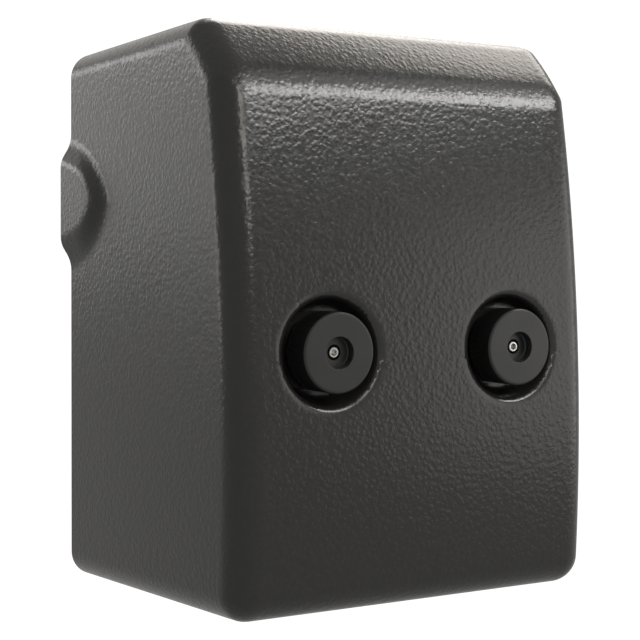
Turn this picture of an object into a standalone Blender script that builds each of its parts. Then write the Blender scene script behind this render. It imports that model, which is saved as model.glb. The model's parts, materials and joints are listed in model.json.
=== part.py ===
"""Compact two-aspect pedestrian signal head with a removable rear cover.

Units are metres. Shapes are modelled with Y = 0 on the cover's rim plane and Z = 0 on the bottom
of the rim. The rear cover reaches towards -Y, the lenses look towards +Y. Everything hangs on one
empty, whose place puts the world origin in the middle of the bottom boss's lower face.
"""
import math

import bmesh
import bpy
from mathutils import Matrix

# ---- driving dimensions -----------------------------------------------------------------------
COVER_WIDTH = 0.2271
COVER_HEIGHT = 0.300
WALL = 0.003
DRAFT = 0.0236                 # narrowing of each side wall per unit of depth
SLOPE_TOP = (-0.1441, 0.3041)  # (y, z) where the top folds into the slope
SLOPE_FOOT = (-0.1726, 0.2736)  # where the slope folds into the front
FRONT_FOOT = (-0.1896, 0.0080)  # where the front meets the bottom
FRONT_BOW = 0.0085             # how far the front bulges over its straight chord
SLOPE_BOW = 0.0013             # and the slope over its own
EDGE_RADIUS = 0.0146
SLOPE_TOP_RADIUS = 0.020
SLOPE_FOOT_RADIUS = 0.030
BOSS_SLOT_GAP = 0.0015         # between a boss and the slot that straddles it

BULGE_Z = 0.215                # middle of the side bulges
BULGE_HEIGHT = 0.0064          # how far they stand off the side wall
# half height at the rim and at the tip, depth of the tip, radius of its corners
BULGE_FOOT = (0.0338, 0.0200, 0.0525, 0.0240)
BULGE_CROWN = (0.0232, 0.0103, 0.0395, 0.0125)

KNOB_X = 0.0553
KNOB_Z = 0.1385
KNOB_RADIUS = 0.020
KNOB_FACE_Y = -0.1973
POCKET_FLOOR_Y = -0.1775
POCKET_FLOOR_RADIUS = 0.0245
POCKET_TAPER = 0.335           # growth of the pocket's radius per unit of depth
POCKET_WALL_SPREAD = 1.06      # radial thickness of its slanting wall, in wall thicknesses
SHANK_HOLE_RADIUS = 0.0066

KNOB_REAR_Y = -0.1705          # end of the knob's shank, inside the cover
KNOB_SHANK_RADIUS = 0.006
KNOB_COUNTERBORE_RADIUS = 0.008
CLIP_GROOVE_Y = (-0.1743, -0.1729)

STUD_RADIUS = 0.003            # M6
STUD_END_Y = -0.192
CLEARANCE = 0.0003             # between pieces that touch or slide on each other

FRAME_HALF_WIDTH = 0.1075
FRAME_BOTTOM = 0.007
FRAME_TOP = 0.295
FRAME_REAR_Y = -0.072
FRAME_FRONT_Y = 0.008
FRAME_WALL = 0.005
FRAME_CORNER = 0.012
COVER_GROOVE = (0.1055, 0.009, 0.293, 0.010)  # half width, bottom, top, corner radius of its floor
COVER_GROOVE_Y = (-0.066, -0.060)
COVER_GASKET = (0.1086, 0.0061, 0.2966, 0.0118)  # the top is lower, so the cover slides off over it
BEZEL_GROOVE = ((0.1060, 0.0085, 0.2935, 0.0105), (0.1030, 0.0115, 0.2905, 0.0075))
BEZEL_GROOVE_Y = 0.006

MODULE_RADIUS = 0.0535         # the can behind each lens
MODULE_REAR_Y = -0.042
MODULE_FLANGE_RADIUS = 0.060
PLATE_THICKNESS = 0.0025
PLATE_CORNER = 0.011
PLATE_SEAT_Y = FRAME_REAR_Y - PLATE_THICKNESS - 2 * CLEARANCE  # where pieces sit on the plate

ASPECT_PITCH = 0.132
FRAME_MIDDLE = (FRAME_BOTTOM + FRAME_TOP) / 2
ASPECTS = {"lower": FRAME_MIDDLE - ASPECT_PITCH / 2, "upper": FRAME_MIDDLE + ASPECT_PITCH / 2}
SIDES = {"left": -1, "right": 1}

BEZEL_FRONT_Y = 0.0192
BEZEL_PLATE = 0.0035
BEZEL_ROUND = 0.007
BEZEL_WALL = 0.006
HEAD_RECESS_Y = 0.0150         # floor of the recesses for the bezel screws' heads
APERTURE_RADIUS = 0.051
VISOR_RADIUS = 0.058
VISOR_END_Y = 0.118
VISOR_SLANT = math.radians(30)
VISOR_FLANGE_RADIUS = 0.064
VISOR_FLANGE = 0.0025
VISOR_SCREW_X = 0.061

BOSS_Y = -0.032
BOSS_RADIUS = 0.024
BOSS_REACH = 0.012             # how far each boss stands out of the cover
BOSS_BORE = 0.0092
SPIGOT_RADIUS = 0.0118

SCREW_X = 0.096
SCREW_ROWS = (0.0185, FRAME_MIDDLE, 0.2835)
M4_RADIUS = 0.002
M3_RADIUS = 0.0015
SOCKET_DEPTH = 0.0015

OVERRUN = 0.006                # how far cutters and trimmed ends pass the rim plane
ROUND_STEPS = 24

FINISHES = {                   # colour, roughness, metallic
    "grained_plastic": ((0.035, 0.034, 0.033), 0.5, 0.0),
    "black_plastic": ((0.02, 0.02, 0.02), 0.45, 0.0),
    "grey_plastic": ((0.11, 0.11, 0.12), 0.55, 0.0),
    "rubber": ((0.015, 0.015, 0.015), 0.8, 0.0),
    "steel": ((0.62, 0.61, 0.59), 0.28, 1.0),
    "aluminium": ((0.55, 0.56, 0.57), 0.42, 1.0),
    "board": ((0.02, 0.12, 0.05), 0.5, 0.0),
    "red_diffuser": ((0.75, 0.05, 0.03), 0.4, 0.0),
    "green_diffuser": ((0.03, 0.65, 0.28), 0.4, 0.0),
    "clear_lens": ((0.75, 0.78, 0.80), 0.08, 0.0),
    "white_plastic": ((0.72, 0.71, 0.68), 0.5, 0.0),
    "red_wire": ((0.45, 0.03, 0.02), 0.5, 0.0),
    "green_wire": ((0.03, 0.25, 0.08), 0.5, 0.0),
    "grey_wire": ((0.18, 0.18, 0.18), 0.5, 0.0),
}


# ---- scene and helpers ------------------------------------------------------------------------
def clear_scene():
    for obj in list(bpy.data.objects):
        bpy.data.objects.remove(obj, do_unlink=True)


def new_collection(name):
    collection = bpy.data.collections.new(name)
    bpy.context.scene.collection.children.link(collection)
    return collection


def material(name, finish):
    colour, roughness, metallic = FINISHES[finish]
    result = bpy.data.materials.new(name)
    result.use_nodes = True
    shader = result.node_tree.nodes["Principled BSDF"]
    shader.inputs["Base Color"].default_value = (*colour, 1.0)
    shader.inputs["Roughness"].default_value = roughness
    shader.inputs["Metallic"].default_value = metallic
    result.diffuse_color = (*colour, 1.0)
    return result


clear_scene()
PARTS = new_collection("pedestrian_signal_head")
CUTTERS = new_collection("cutters")
HEAD = bpy.data.objects.new("head_axis", None)
HEAD.location = (0.0, -BOSS_Y, BOSS_REACH)
PARTS.objects.link(HEAD)


def add_object(name, mesh, finish):
    """Link a mesh as a part, or as a cutter where finish is None."""
    obj = bpy.data.objects.new(name, mesh)
    obj.parent = HEAD
    if finish is None:
        CUTTERS.objects.link(obj)
        obj.hide_render = True
        obj.display_type = "WIRE"
    else:
        PARTS.objects.link(obj)
        mesh.materials.append(material(name, finish))
    return obj


def from_bmesh(name, bm, finish):
    mesh = bpy.data.meshes.new(name)
    bm.to_mesh(mesh)
    bm.free()
    return add_object(name, mesh, finish)


def combine(target, tool, operation):
    modifier = target.modifiers.new(tool.name, "BOOLEAN")
    modifier.operation = operation
    modifier.object = tool
    modifier.solver = "EXACT"


def cut(target, tool):
    combine(target, tool, "DIFFERENCE")


def join(target, tool):
    combine(target, tool, "UNION")


def set_on_axis(obj, centre, along):
    """Stand an object, made along its own Z, on an axis along Y through (x, z), or Z through (x, y)."""
    if along == "Y":
        obj.rotation_euler = (-math.pi / 2, 0.0, 0.0)
        obj.location = (centre[0], 0.0, centre[1])
    else:
        obj.location = (centre[0], centre[1], 0.0)
    return obj


def turned(name, profile, finish, centre, along="Y", steps=ROUND_STEPS):
    """Spin (radius, position) points about an axis. They run down the outer side.

    Along Y, centre is (x, z) and positions are y. Along Z, centre is (x, y) and they are z.
    """
    mesh = bpy.data.meshes.new(name)
    points = [(radius, 0.0, position) for radius, position in profile]
    edges = [(index, index + 1) for index in range(len(points) - 1)]
    if profile[0][0] > 0.0:
        edges.append((len(points) - 1, 0))
    mesh.from_pydata(points, edges, [])
    obj = add_object(name, mesh, finish)
    screw = obj.modifiers.new("spin", "SCREW")
    screw.steps = steps
    screw.render_steps = steps
    screw.use_merge_vertices = True
    screw.merge_threshold = 0.00001
    return set_on_axis(obj, centre, along)


def cone(name, low_radius, high_radius, low, high, finish, centre, along="Y", steps=12):
    bm = bmesh.new()
    bmesh.ops.create_cone(bm, cap_ends=True, segments=steps, radius1=low_radius, radius2=high_radius,
                          depth=high - low, matrix=Matrix.Translation((0.0, 0.0, (high + low) / 2)))
    return set_on_axis(from_bmesh(name, bm, finish), centre, along)


def rod(name, radius, low, high, finish, centre, along="Y", steps=12):
    return cone(name, radius, radius, low, high, finish, centre, along, steps)


def ring(name, inner, outer, low, high, finish, centre, along="Y", steps=ROUND_STEPS):
    profile = [(outer, high), (outer, low), (inner, low), (inner, high)]
    return turned(name, profile, finish, centre, along, steps)


def hexagon(name, across_flats, low, high, finish, centre, along="Y"):
    return rod(name, across_flats / math.sqrt(3), low, high, finish, centre, along, steps=6)


def block(name, low, high, finish, corner=0.0, front_round=0.0):
    """A box with its edges along Y rounded, and perhaps the rim of its +Y face as well."""
    bm = bmesh.new()
    bmesh.ops.create_cube(bm, size=1.0)
    for vert in bm.verts:
        for axis in range(3):
            vert.co[axis] = high[axis] if vert.co[axis] > 0.0 else low[axis]
    if corner > 0.0:
        edges = [e for e in bm.edges if abs(e.verts[0].co.y - e.verts[1].co.y) > 1e-6]
        bmesh.ops.bevel(bm, geom=edges, offset=corner, segments=3, profile=0.5, affect="EDGES")
    if front_round > 0.0:
        edges = [e for e in bm.edges if all(abs(v.co.y - high[1]) < 1e-6 for v in e.verts)]
        bmesh.ops.bevel(bm, geom=edges, offset=front_round, segments=3, profile=0.5, affect="EDGES")
    return from_bmesh(name, bm, finish)


def rounded_frame(name, outer, inner, low_y, high_y, finish):
    """A ring with rounded corners. outer and inner are (half width, bottom, top, corner radius)."""
    body = block(name, (-outer[0], low_y, outer[1]), (outer[0], high_y, outer[2]), finish, outer[3])
    hole = block(name + "_hole", (-inner[0], low_y - OVERRUN, inner[1]),
                 (inner[0], high_y + OVERRUN, inner[2]), None, inner[3])
    cut(body, hole)
    return body


def smooth_route(points, steps):
    """A smooth curve through the given points, as (x, y, z) samples."""
    ends = [points[0]] + points + [points[-1]]
    route = []
    for first, second, third, fourth in zip(ends, ends[1:], ends[2:], ends[3:]):
        for step in range(steps):
            t = step / steps
            route.append(tuple(
                0.5 * (2 * b + (c - a) * t + (2 * a - 5 * b + 4 * c - d) * t ** 2
                       + (3 * b - a - 3 * c + d) * t ** 3)
                for a, b, c, d in zip(first, second, third, fourth)))
    route.append(points[-1])
    return route


def wire(name, points, radius, finish):
    curve = bpy.data.curves.new(name, "CURVE")
    curve.dimensions = "3D"
    curve.bevel_depth = radius
    curve.bevel_resolution = 2
    curve.use_fill_caps = True
    route = smooth_route(points, 4)
    spline = curve.splines.new("POLY")
    spline.points.add(len(route) - 1)
    for point, place in zip(spline.points, route):
        point.co = (*place, 1.0)
    return add_object(name, curve, finish)


# ---- rear cover -------------------------------------------------------------------------------
def offset_corners(corners, distances):
    """Move each edge of a polygon, which runs clockwise in (y, z), inwards by its distance."""
    lines = []
    for start, end, distance in zip(corners, corners[1:] + corners[:1], distances):
        along = (end[0] - start[0], end[1] - start[1])
        length = math.hypot(*along)
        inward = (along[1] / length, -along[0] / length)
        lines.append((start[0] + inward[0] * distance, start[1] + inward[1] * distance, *along))
    moved = []
    for before, after in zip(lines[-1:] + lines[:-1], lines):
        cross = before[2] * after[3] - before[3] * after[2]
        gap = (after[0] - before[0], after[1] - before[1])
        t = (gap[0] * after[3] - gap[1] * after[2]) / cross
        moved.append((before[0] + before[2] * t, before[1] + before[3] * t))
    return moved


def corner_arc(before, corner, after, radius, steps=4):
    """Points on the arc that rounds a corner between two straight runs."""
    heading = math.atan2(corner[1] - before[1], corner[0] - before[0])
    leaving = math.atan2(after[1] - corner[1], after[0] - corner[0])
    turn = math.remainder(leaving - heading, 2 * math.pi)
    inward = math.copysign(math.pi / 2, turn)
    reach = radius / math.cos(turn / 2)
    bearing = heading + turn / 2 + inward
    centre = (corner[0] + reach * math.cos(bearing), corner[1] + reach * math.sin(bearing))
    points = []
    for step in range(steps + 1):
        angle = heading - inward + turn * step / steps
        points.append((centre[0] + radius * math.cos(angle), centre[1] + radius * math.sin(angle)))
    return points


def bowed(start, end, rise, places):
    """Points on a shallow bow over the chord from start to end, at the given parts of its length."""
    chord = (end[0] - start[0], end[1] - start[1])
    length = math.hypot(*chord)
    points = []
    for t in places:
        height = rise * 4 * t * (1 - t) / length
        points.append((start[0] + chord[0] * t - chord[1] * height,
                       start[1] + chord[1] * t + chord[0] * height))
    return points


def cover_outline(inset):
    """Side outline of the cover in (y, z), from the rim's bottom round the front to its top."""
    corners = [(0.0, 0.0), FRONT_FOOT, SLOPE_FOOT, SLOPE_TOP, (0.0, COVER_HEIGHT)]
    corners = offset_corners(corners, [inset, inset, inset, inset, -OVERRUN])
    rim_bottom, foot, slope_foot, slope_top, rim_top = corners
    front = bowed(foot, slope_foot, FRONT_BOW, [step / 8 for step in range(1, 8)])
    slope = bowed(slope_foot, slope_top, SLOPE_BOW, [0.35, 0.5, 0.65])
    outline = [rim_bottom]
    outline += corner_arc(rim_bottom, foot, front[0], EDGE_RADIUS - inset)
    outline += front
    outline += corner_arc(front[-1], slope_foot, slope[0], SLOPE_FOOT_RADIUS - inset)
    outline += slope
    outline += corner_arc(slope[-1], slope_top, rim_top, SLOPE_TOP_RADIUS - inset)
    outline.append(rim_top)
    return outline


def half_width(y):
    return COVER_WIDTH / 2 + DRAFT * y


def cover_block(name, inset, finish):
    """The cover's outer body, or its inside where inset is the wall thickness."""
    bm = bmesh.new()
    verts = [bm.verts.new((-1.0, y, z)) for y, z in cover_outline(inset)]
    side = bm.faces.new(verts)
    grown = bmesh.ops.extrude_face_region(bm, geom=[side])["geom"]
    for vert in (item for item in grown if isinstance(item, bmesh.types.BMVert)):
        vert.co.x = 1.0
    for vert in bm.verts:
        vert.co.x *= half_width(vert.co.y) - inset
    bmesh.ops.recalc_face_normals(bm, faces=bm.faces)
    edges = [e for e in bm.edges
             if e.verts[0].co.x * e.verts[1].co.x > 0.0 and min(v.co.y for v in e.verts) < 0.0]
    bmesh.ops.bevel(bm, geom=edges, offset=EDGE_RADIUS - inset, segments=4, profile=0.5,
                    affect="EDGES")
    return from_bmesh(name, bm, finish)


def bulge(name, side, inset, finish):
    """A tapered swelling on a side wall, wider at its foot, which runs out past the rim."""
    bm = bmesh.new()
    for level in (-2 * WALL, BULGE_HEIGHT):
        t = level / BULGE_HEIGHT
        rim_half, tip_half, tip_depth, corner = (foot + (crown - foot) * t
                                                 for foot, crown in zip(BULGE_FOOT, BULGE_CROWN))
        end_half = rim_half + (rim_half - tip_half) * OVERRUN / tip_depth
        ends = [(-OVERRUN, -end_half), (-OVERRUN, end_half)]
        tips = [(tip_depth, -tip_half), (tip_depth, tip_half)]
        outline = corner_arc(ends[0], tips[0], tips[1], corner) + corner_arc(*tips, ends[1], corner)
        for depth, height in ends + outline:
            bm.verts.new((side * (half_width(-depth) + level - inset), -depth, BULGE_Z + height))
    bmesh.ops.convex_hull(bm, input=bm.verts)
    bmesh.ops.recalc_face_normals(bm, faces=bm.faces)
    return from_bmesh(name, bm, finish)


def pocket(name, side, wall):
    """The tapered recess round a knob, grown by a wall thickness."""
    floor = POCKET_FLOOR_Y + wall
    mouth = KNOB_FACE_Y - 3 * OVERRUN
    radius = POCKET_FLOOR_RADIUS + wall * POCKET_WALL_SPREAD
    mouth_radius = radius + (floor - mouth) * POCKET_TAPER
    return cone(name, mouth_radius, radius, mouth, floor, None, (side * KNOB_X, KNOB_Z), steps=28)


def rear_cover():
    cover = cover_block("rear_cover", 0.0, "grained_plastic")
    cavity = cover_block("cover_cavity", WALL, None)
    for side_name, side in SIDES.items():
        join(cover, bulge("bulge_" + side_name, side, 0.0, None))
        join(cavity, bulge("bulge_inside_" + side_name, side, WALL, None))
        cut(cavity, pocket("pocket_wall_" + side_name, side, WALL))
    cut(cover, cavity)
    for side_name, side in SIDES.items():
        cut(cover, pocket("pocket_" + side_name, side, 0.0))
        cut(cover, rod("shank_hole_" + side_name, SHANK_HOLE_RADIUS, POCKET_FLOOR_Y - 2 * WALL,
                       POCKET_FLOOR_Y + 3 * WALL, None, (side * KNOB_X, KNOB_Z), steps=20))
    slot = BOSS_RADIUS + BOSS_SLOT_GAP
    for end_name, low, high in (("bottom", -0.02, 0.02), ("top", COVER_HEIGHT - 0.02, COVER_HEIGHT + 0.02)):
        cut(cover, block("boss_slot_" + end_name, (-slot, BOSS_Y, low), (slot, 0.02, high), None))
        cut(cover, rod("boss_slot_end_" + end_name, slot, low, high, None, (0.0, BOSS_Y), "Z", 24))
    cut(cover, block("rim_trim", (-0.2, 0.0, -0.1), (0.2, 0.05, 0.4), None))


# ---- knobs, studs and their small parts -------------------------------------------------------
def knob(side_name, side):
    """A thumb knob whose shank passes the cover, with its sealing washer and retaining clip."""
    centre = (side * KNOB_X, KNOB_Z)
    back = POCKET_FLOOR_Y - 0.0021
    recess = STUD_END_Y - 0.0001
    chamfer = 0.0008
    groove = 0.0049
    bore = 0.0035
    clip_near, clip_far = CLIP_GROOVE_Y
    profile = [(KNOB_SHANK_RADIUS, KNOB_REAR_Y), (KNOB_SHANK_RADIUS, clip_far), (groove, clip_far),
               (groove, clip_near), (KNOB_SHANK_RADIUS, clip_near), (KNOB_SHANK_RADIUS, back),
               (KNOB_RADIUS - chamfer, back), (KNOB_RADIUS, back - chamfer),
               (KNOB_RADIUS, KNOB_FACE_Y + chamfer), (KNOB_RADIUS - chamfer, KNOB_FACE_Y),
               (KNOB_COUNTERBORE_RADIUS, KNOB_FACE_Y), (KNOB_COUNTERBORE_RADIUS, recess),
               (bore, recess), (bore, KNOB_REAR_Y)]
    turned("knob_" + side_name, profile, "black_plastic", centre)
    ring("knob_washer_" + side_name, 0.0069, 0.017, back + CLEARANCE, POCKET_FLOOR_Y - CLEARANCE,
         "rubber", centre)
    clip = ring("knob_clip_" + side_name, groove + CLEARANCE, 0.010, clip_near + 0.0002,
                clip_far - 0.0002, "steel", centre, steps=16)
    gap = 0.0035
    cut(clip, block("clip_gap_" + side_name, (centre[0] - gap, clip_near - 0.002, KNOB_Z - KNOB_RADIUS),
                    (centre[0] + gap, clip_far + 0.002, KNOB_Z), None))


def stud(side_name, side):
    """A headed stud that stands on the plate and ends in the knob, held by a nut."""
    centre = (side * KNOB_X, KNOB_Z)
    head_radius = 0.006
    head_front = FRAME_REAR_Y + 0.003
    chamfer = 0.0005
    profile = [(0.0, head_front), (head_radius, head_front), (head_radius, FRAME_REAR_Y),
               (STUD_RADIUS, FRAME_REAR_Y), (STUD_RADIUS, STUD_END_Y + chamfer),
               (STUD_RADIUS - chamfer, STUD_END_Y), (0.0, STUD_END_Y)]
    body = turned("stud_" + side_name, profile, "steel", centre, steps=24)
    cut(body, hexagon("hex_socket_" + side_name, 0.003, STUD_END_Y - 0.002, STUD_END_Y + 0.003,
                      None, centre))
    nut_rear = PLATE_SEAT_Y - 0.005
    nut = hexagon("stud_nut_" + side_name, 0.010, nut_rear, PLATE_SEAT_Y, "steel", centre)
    cut(nut, rod("stud_nut_bore_" + side_name, STUD_RADIUS + CLEARANCE, nut_rear - 0.005,
                 PLATE_SEAT_Y + 0.01, None, centre))


# ---- frame, plate and electrics ---------------------------------------------------------------
def screw_places():
    return [(side * SCREW_X, row) for row in SCREW_ROWS for side in SIDES.values()]


def base_frame():
    """The tray that everything is fixed to, open at the rear and holed for the two modules."""
    frame = block("base_frame", (-FRAME_HALF_WIDTH, FRAME_REAR_Y, FRAME_BOTTOM),
                  (FRAME_HALF_WIDTH, FRAME_FRONT_Y, FRAME_TOP), "grey_plastic", FRAME_CORNER)
    inner = FRAME_HALF_WIDTH - FRAME_WALL
    cut(frame, block("frame_inside", (-inner, FRAME_REAR_Y - OVERRUN, FRAME_BOTTOM + FRAME_WALL),
                     (inner, FRAME_FRONT_Y - FRAME_WALL, FRAME_TOP - FRAME_WALL), None,
                     FRAME_CORNER - FRAME_WALL))
    for index, place in enumerate(screw_places()):
        at_middle = place[1] == FRAME_MIDDLE
        rear = -FRAME_CORNER if at_middle else FRAME_REAR_Y + 0.0005
        join(frame, rod("frame_boss_%d" % index, 0.0072, rear, FRAME_FRONT_Y - 0.004, None, place))
        cut(frame, rod("front_hole_%d" % index, M4_RADIUS + CLEARANCE, -FRAME_FRONT_Y, 0.02, None, place))
        if not at_middle:
            cut(frame, rod("rear_hole_%d" % index, M4_RADIUS + CLEARANCE, FRAME_REAR_Y - 0.01,
                           FRAME_REAR_Y + 0.014, None, place))
    for name, height in ASPECTS.items():
        cut(frame, rod("module_hole_" + name, MODULE_RADIUS + 0.001, -0.01, 0.02, None, (0.0, height),
                       steps=32))
    cut(frame, rounded_frame("gasket_groove", (0.13, -0.02, 0.32, 0.012), COVER_GROOVE, *COVER_GROOVE_Y,
                             None))
    outer, inner = BEZEL_GROOVE
    cut(frame, rounded_frame("bezel_groove", outer, inner, BEZEL_GROOVE_Y, 0.02, None))
    for end_name, low, high in (("bottom", -0.01, 0.014), ("top", 0.285, 0.31)):
        cut(frame, rod("spigot_hole_" + end_name, SPIGOT_RADIUS + CLEARANCE, low, high, None,
                       (0.0, BOSS_Y), "Z", 20))


def narrowed(outline, distance):
    """A rounded outline (half width, bottom, top, corner radius) drawn in by a distance."""
    half, bottom, top, corner = outline
    return half - distance, bottom + distance, top - distance, corner - distance


def gaskets():
    low, high = COVER_GROOVE_Y
    rounded_frame("cover_gasket", COVER_GASKET, narrowed(COVER_GROOVE, -CLEARANCE), low + CLEARANCE,
                  high - CLEARANCE, "rubber")
    outer, inner = BEZEL_GROOVE
    rounded_frame("bezel_gasket", narrowed(outer, CLEARANCE), narrowed(inner, -CLEARANCE),
                  BEZEL_GROOVE_Y + CLEARANCE, FRAME_FRONT_Y, "rubber")


def mounting_plate():
    front = FRAME_REAR_Y - CLEARANCE
    rear = front - PLATE_THICKNESS
    through = (rear - 0.015, front + 0.012)
    plate = block("mounting_plate", (-0.106, rear, 0.009), (0.106, front, 0.293), "aluminium",
                  PLATE_CORNER)
    for index, place in enumerate(screw_places()):
        if place[1] != FRAME_MIDDLE:
            cut(plate, rod("plate_hole_%d" % index, M4_RADIUS + CLEARANCE, *through, None, place))
    for side_name, side in SIDES.items():
        cut(plate, rod("stud_hole_" + side_name, STUD_RADIUS + CLEARANCE, *through, None,
                       (side * KNOB_X, KNOB_Z)))
    hole, bore, lip_radius, lip = 0.008, 0.0045, 0.0105, 0.0015
    neck = hole - CLEARANCE
    for name, height in ASPECTS.items():
        cut(plate, rod("wire_hole_" + name, hole, *through, None, (0.0, height)))
        grommet = [(lip_radius, front + lip), (lip_radius, front + CLEARANCE),
                   (neck, front + CLEARANCE), (neck, rear - CLEARANCE),
                   (lip_radius, rear - CLEARANCE), (lip_radius, rear - lip),
                   (bore, rear - lip), (bore, front + lip)]
        turned("grommet_" + name, grommet, "rubber", (0.0, height), steps=24)


def screw(name, place, head_radius, shank_radius, face, seat, tip):
    """A pan-head screw. face is the head's end, seat its underside and tip the shank's end, in y."""
    outward = math.copysign(1.0, face - tip)
    profile = [(0.0, face), (head_radius, face), (head_radius, seat), (shank_radius, seat),
               (shank_radius, tip), (0.0, tip)]
    if outward < 0:
        profile.reverse()
    body = turned(name, profile, "steel", place, steps=10)
    low, high = sorted((face - outward * SOCKET_DEPTH, face + outward * SOCKET_DEPTH))
    cut(body, hexagon(name + "_socket", head_radius * 0.7, low, high, None, place))


def screws():
    corners = [place for place in screw_places() if place[1] != FRAME_MIDDLE]
    for index, place in enumerate(corners, start=1):
        screw("plate_screw_%d" % index, place, 0.0038, M4_RADIUS, PLATE_SEAT_Y - 0.0025,
              PLATE_SEAT_Y, FRAME_REAR_Y + 0.010)
    seat = HEAD_RECESS_Y + CLEARANCE
    for index, place in enumerate(screw_places(), start=1):
        screw("bezel_screw_%d" % index, place, 0.0036, M4_RADIUS, seat + 0.0035, seat, -0.005)


def power_supply():
    box = block("power_supply", (-0.041, -0.116, 0.108), (0.041, PLATE_SEAT_Y, 0.194),
                "black_plastic", 0.003)
    join(box, block("supply_ears", (-0.020, PLATE_SEAT_Y - 0.003, 0.100),
                    (0.020, PLATE_SEAT_Y - 0.0002, 0.202), None, 0.004))
    for index in range(9):
        middle = -0.032 + 0.008 * index
        cut(box, block("supply_slot_%d" % index, (middle - 0.002, -0.13, 0.114),
                       (middle + 0.002, -0.108, 0.188), None))


def terminal_block():
    body = block("terminal_block", (-0.036, -0.098, 0.034), (0.036, PLATE_SEAT_Y, 0.056),
                 "white_plastic", 0.001)
    for index in range(6):
        x = -0.030 + 0.012 * index
        cut(body, rod("terminal_entry_%d" % index, 0.003, 0.050, 0.06, None, (x, -0.088), "Z", 12))
        cut(body, rod("terminal_screw_%d" % index, 0.003, -0.11, -0.094, None, (x, 0.045), "Y", 12))


def wires():
    upper, lower = ASPECTS["upper"], ASPECTS["lower"]
    wire("wire_upper", [(0.0, -0.0424, upper), (0.0, -0.060, upper), (0.0, -0.081, upper),
                        (0.0, -0.0925, upper - 0.004), (0.0, -0.095, upper - 0.012),
                        (0.0, -0.095, 0.1944)], 0.002, "red_wire")
    wire("wire_lower", [(0.0, -0.0424, lower), (0.0, -0.060, lower), (0.0, -0.081, lower),
                        (-0.006, -0.0925, lower + 0.003), (-0.012, -0.095, lower + 0.010),
                        (-0.012, -0.095, 0.1076)], 0.002, "green_wire")
    wire("supply_wire", [(0.018, -0.093, 0.1076), (0.018, -0.093, 0.096), (0.018, -0.091, 0.080),
                         (0.018, -0.088, 0.066), (0.018, -0.088, 0.0563)], 0.0025, "grey_wire")


# ---- bosses -----------------------------------------------------------------------------------
def boss(end_name, face, seat, tip):
    """A hollow boss: face is its outer end, seat rests on the frame, tip ends the spigot."""
    out = math.copysign(1.0, face - seat)
    groove = face - out * 0.0015
    groove_outer, groove_inner = 0.0185, 0.0135
    profile = [(SPIGOT_RADIUS, tip), (SPIGOT_RADIUS, seat), (BOSS_RADIUS, seat), (BOSS_RADIUS, face),
               (groove_outer, face), (groove_outer, groove), (groove_inner, groove),
               (groove_inner, face), (BOSS_BORE, face), (BOSS_BORE, tip)]
    if out > 0:
        profile.reverse()
    turned(end_name + "_boss", profile, "aluminium", (0.0, BOSS_Y), "Z")
    nut = sorted((tip + out * CLEARANCE, tip + out * 0.0055))
    ring(end_name + "_boss_nut", SPIGOT_RADIUS + CLEARANCE, groove_outer, *nut, "steel",
         (0.0, BOSS_Y), "Z", 20)


def bosses():
    boss("bottom", -BOSS_REACH, FRAME_BOTTOM - CLEARANCE, 0.0181)
    boss("top", COVER_HEIGHT + BOSS_REACH, FRAME_TOP + CLEARANCE, 0.2839)
    in_bore = BOSS_BORE - CLEARANCE
    rod("top_plug", in_bore, 0.295, 0.3105, "rubber", (0.0, BOSS_Y), "Z", 20)
    cap, flange, cord_way = 0.0105, 0.0125, 0.0040
    cap_top, flange_top, flange_seat, foot = 0.0280, 0.0225, 0.0184, 0.002
    gland = [(cap, cap_top), (cap, flange_top), (flange, flange_top), (flange, flange_seat),
             (in_bore, flange_seat), (in_bore, foot), (cord_way, foot), (cord_way, cap_top)]
    turned("cable_gland", gland, "black_plastic", (0.0, BOSS_Y), "Z", 20)


# ---- signal side ------------------------------------------------------------------------------
def bezel():
    rear = FRAME_FRONT_Y + CLEARANCE
    shell = block("bezel", (-FRAME_HALF_WIDTH, rear, FRAME_BOTTOM),
                  (FRAME_HALF_WIDTH, BEZEL_FRONT_Y, FRAME_TOP), "black_plastic", FRAME_CORNER,
                  BEZEL_ROUND)
    inner = FRAME_HALF_WIDTH - BEZEL_WALL
    cut(shell, block("bezel_inside", (-inner, 0.0, FRAME_BOTTOM + BEZEL_WALL),
                     (inner, BEZEL_FRONT_Y - BEZEL_PLATE, FRAME_TOP - BEZEL_WALL), None, 0.008))
    for index, place in enumerate(screw_places()):
        join(shell, rod("bezel_boss_%d" % index, 0.0062, rear + 0.0005, BEZEL_FRONT_Y - 0.001,
                        None, place))
        cut(shell, rod("bezel_hole_%d" % index, M4_RADIUS + CLEARANCE, 0.0, 0.03, None, place))
        cut(shell, rod("head_recess_%d" % index, 0.0040, HEAD_RECESS_Y, 0.03, None, place))
    for name, height in ASPECTS.items():
        cut(shell, rod("aperture_" + name, APERTURE_RADIUS, 0.0, 0.03, None, (0.0, height), steps=32))
        for side_name, side in SIDES.items():
            cut(shell, rod("visor_hole_%s_%s" % (name, side_name), M3_RADIUS + CLEARANCE, 0.0, 0.03,
                           None, (side * VISOR_SCREW_X, height)))


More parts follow.
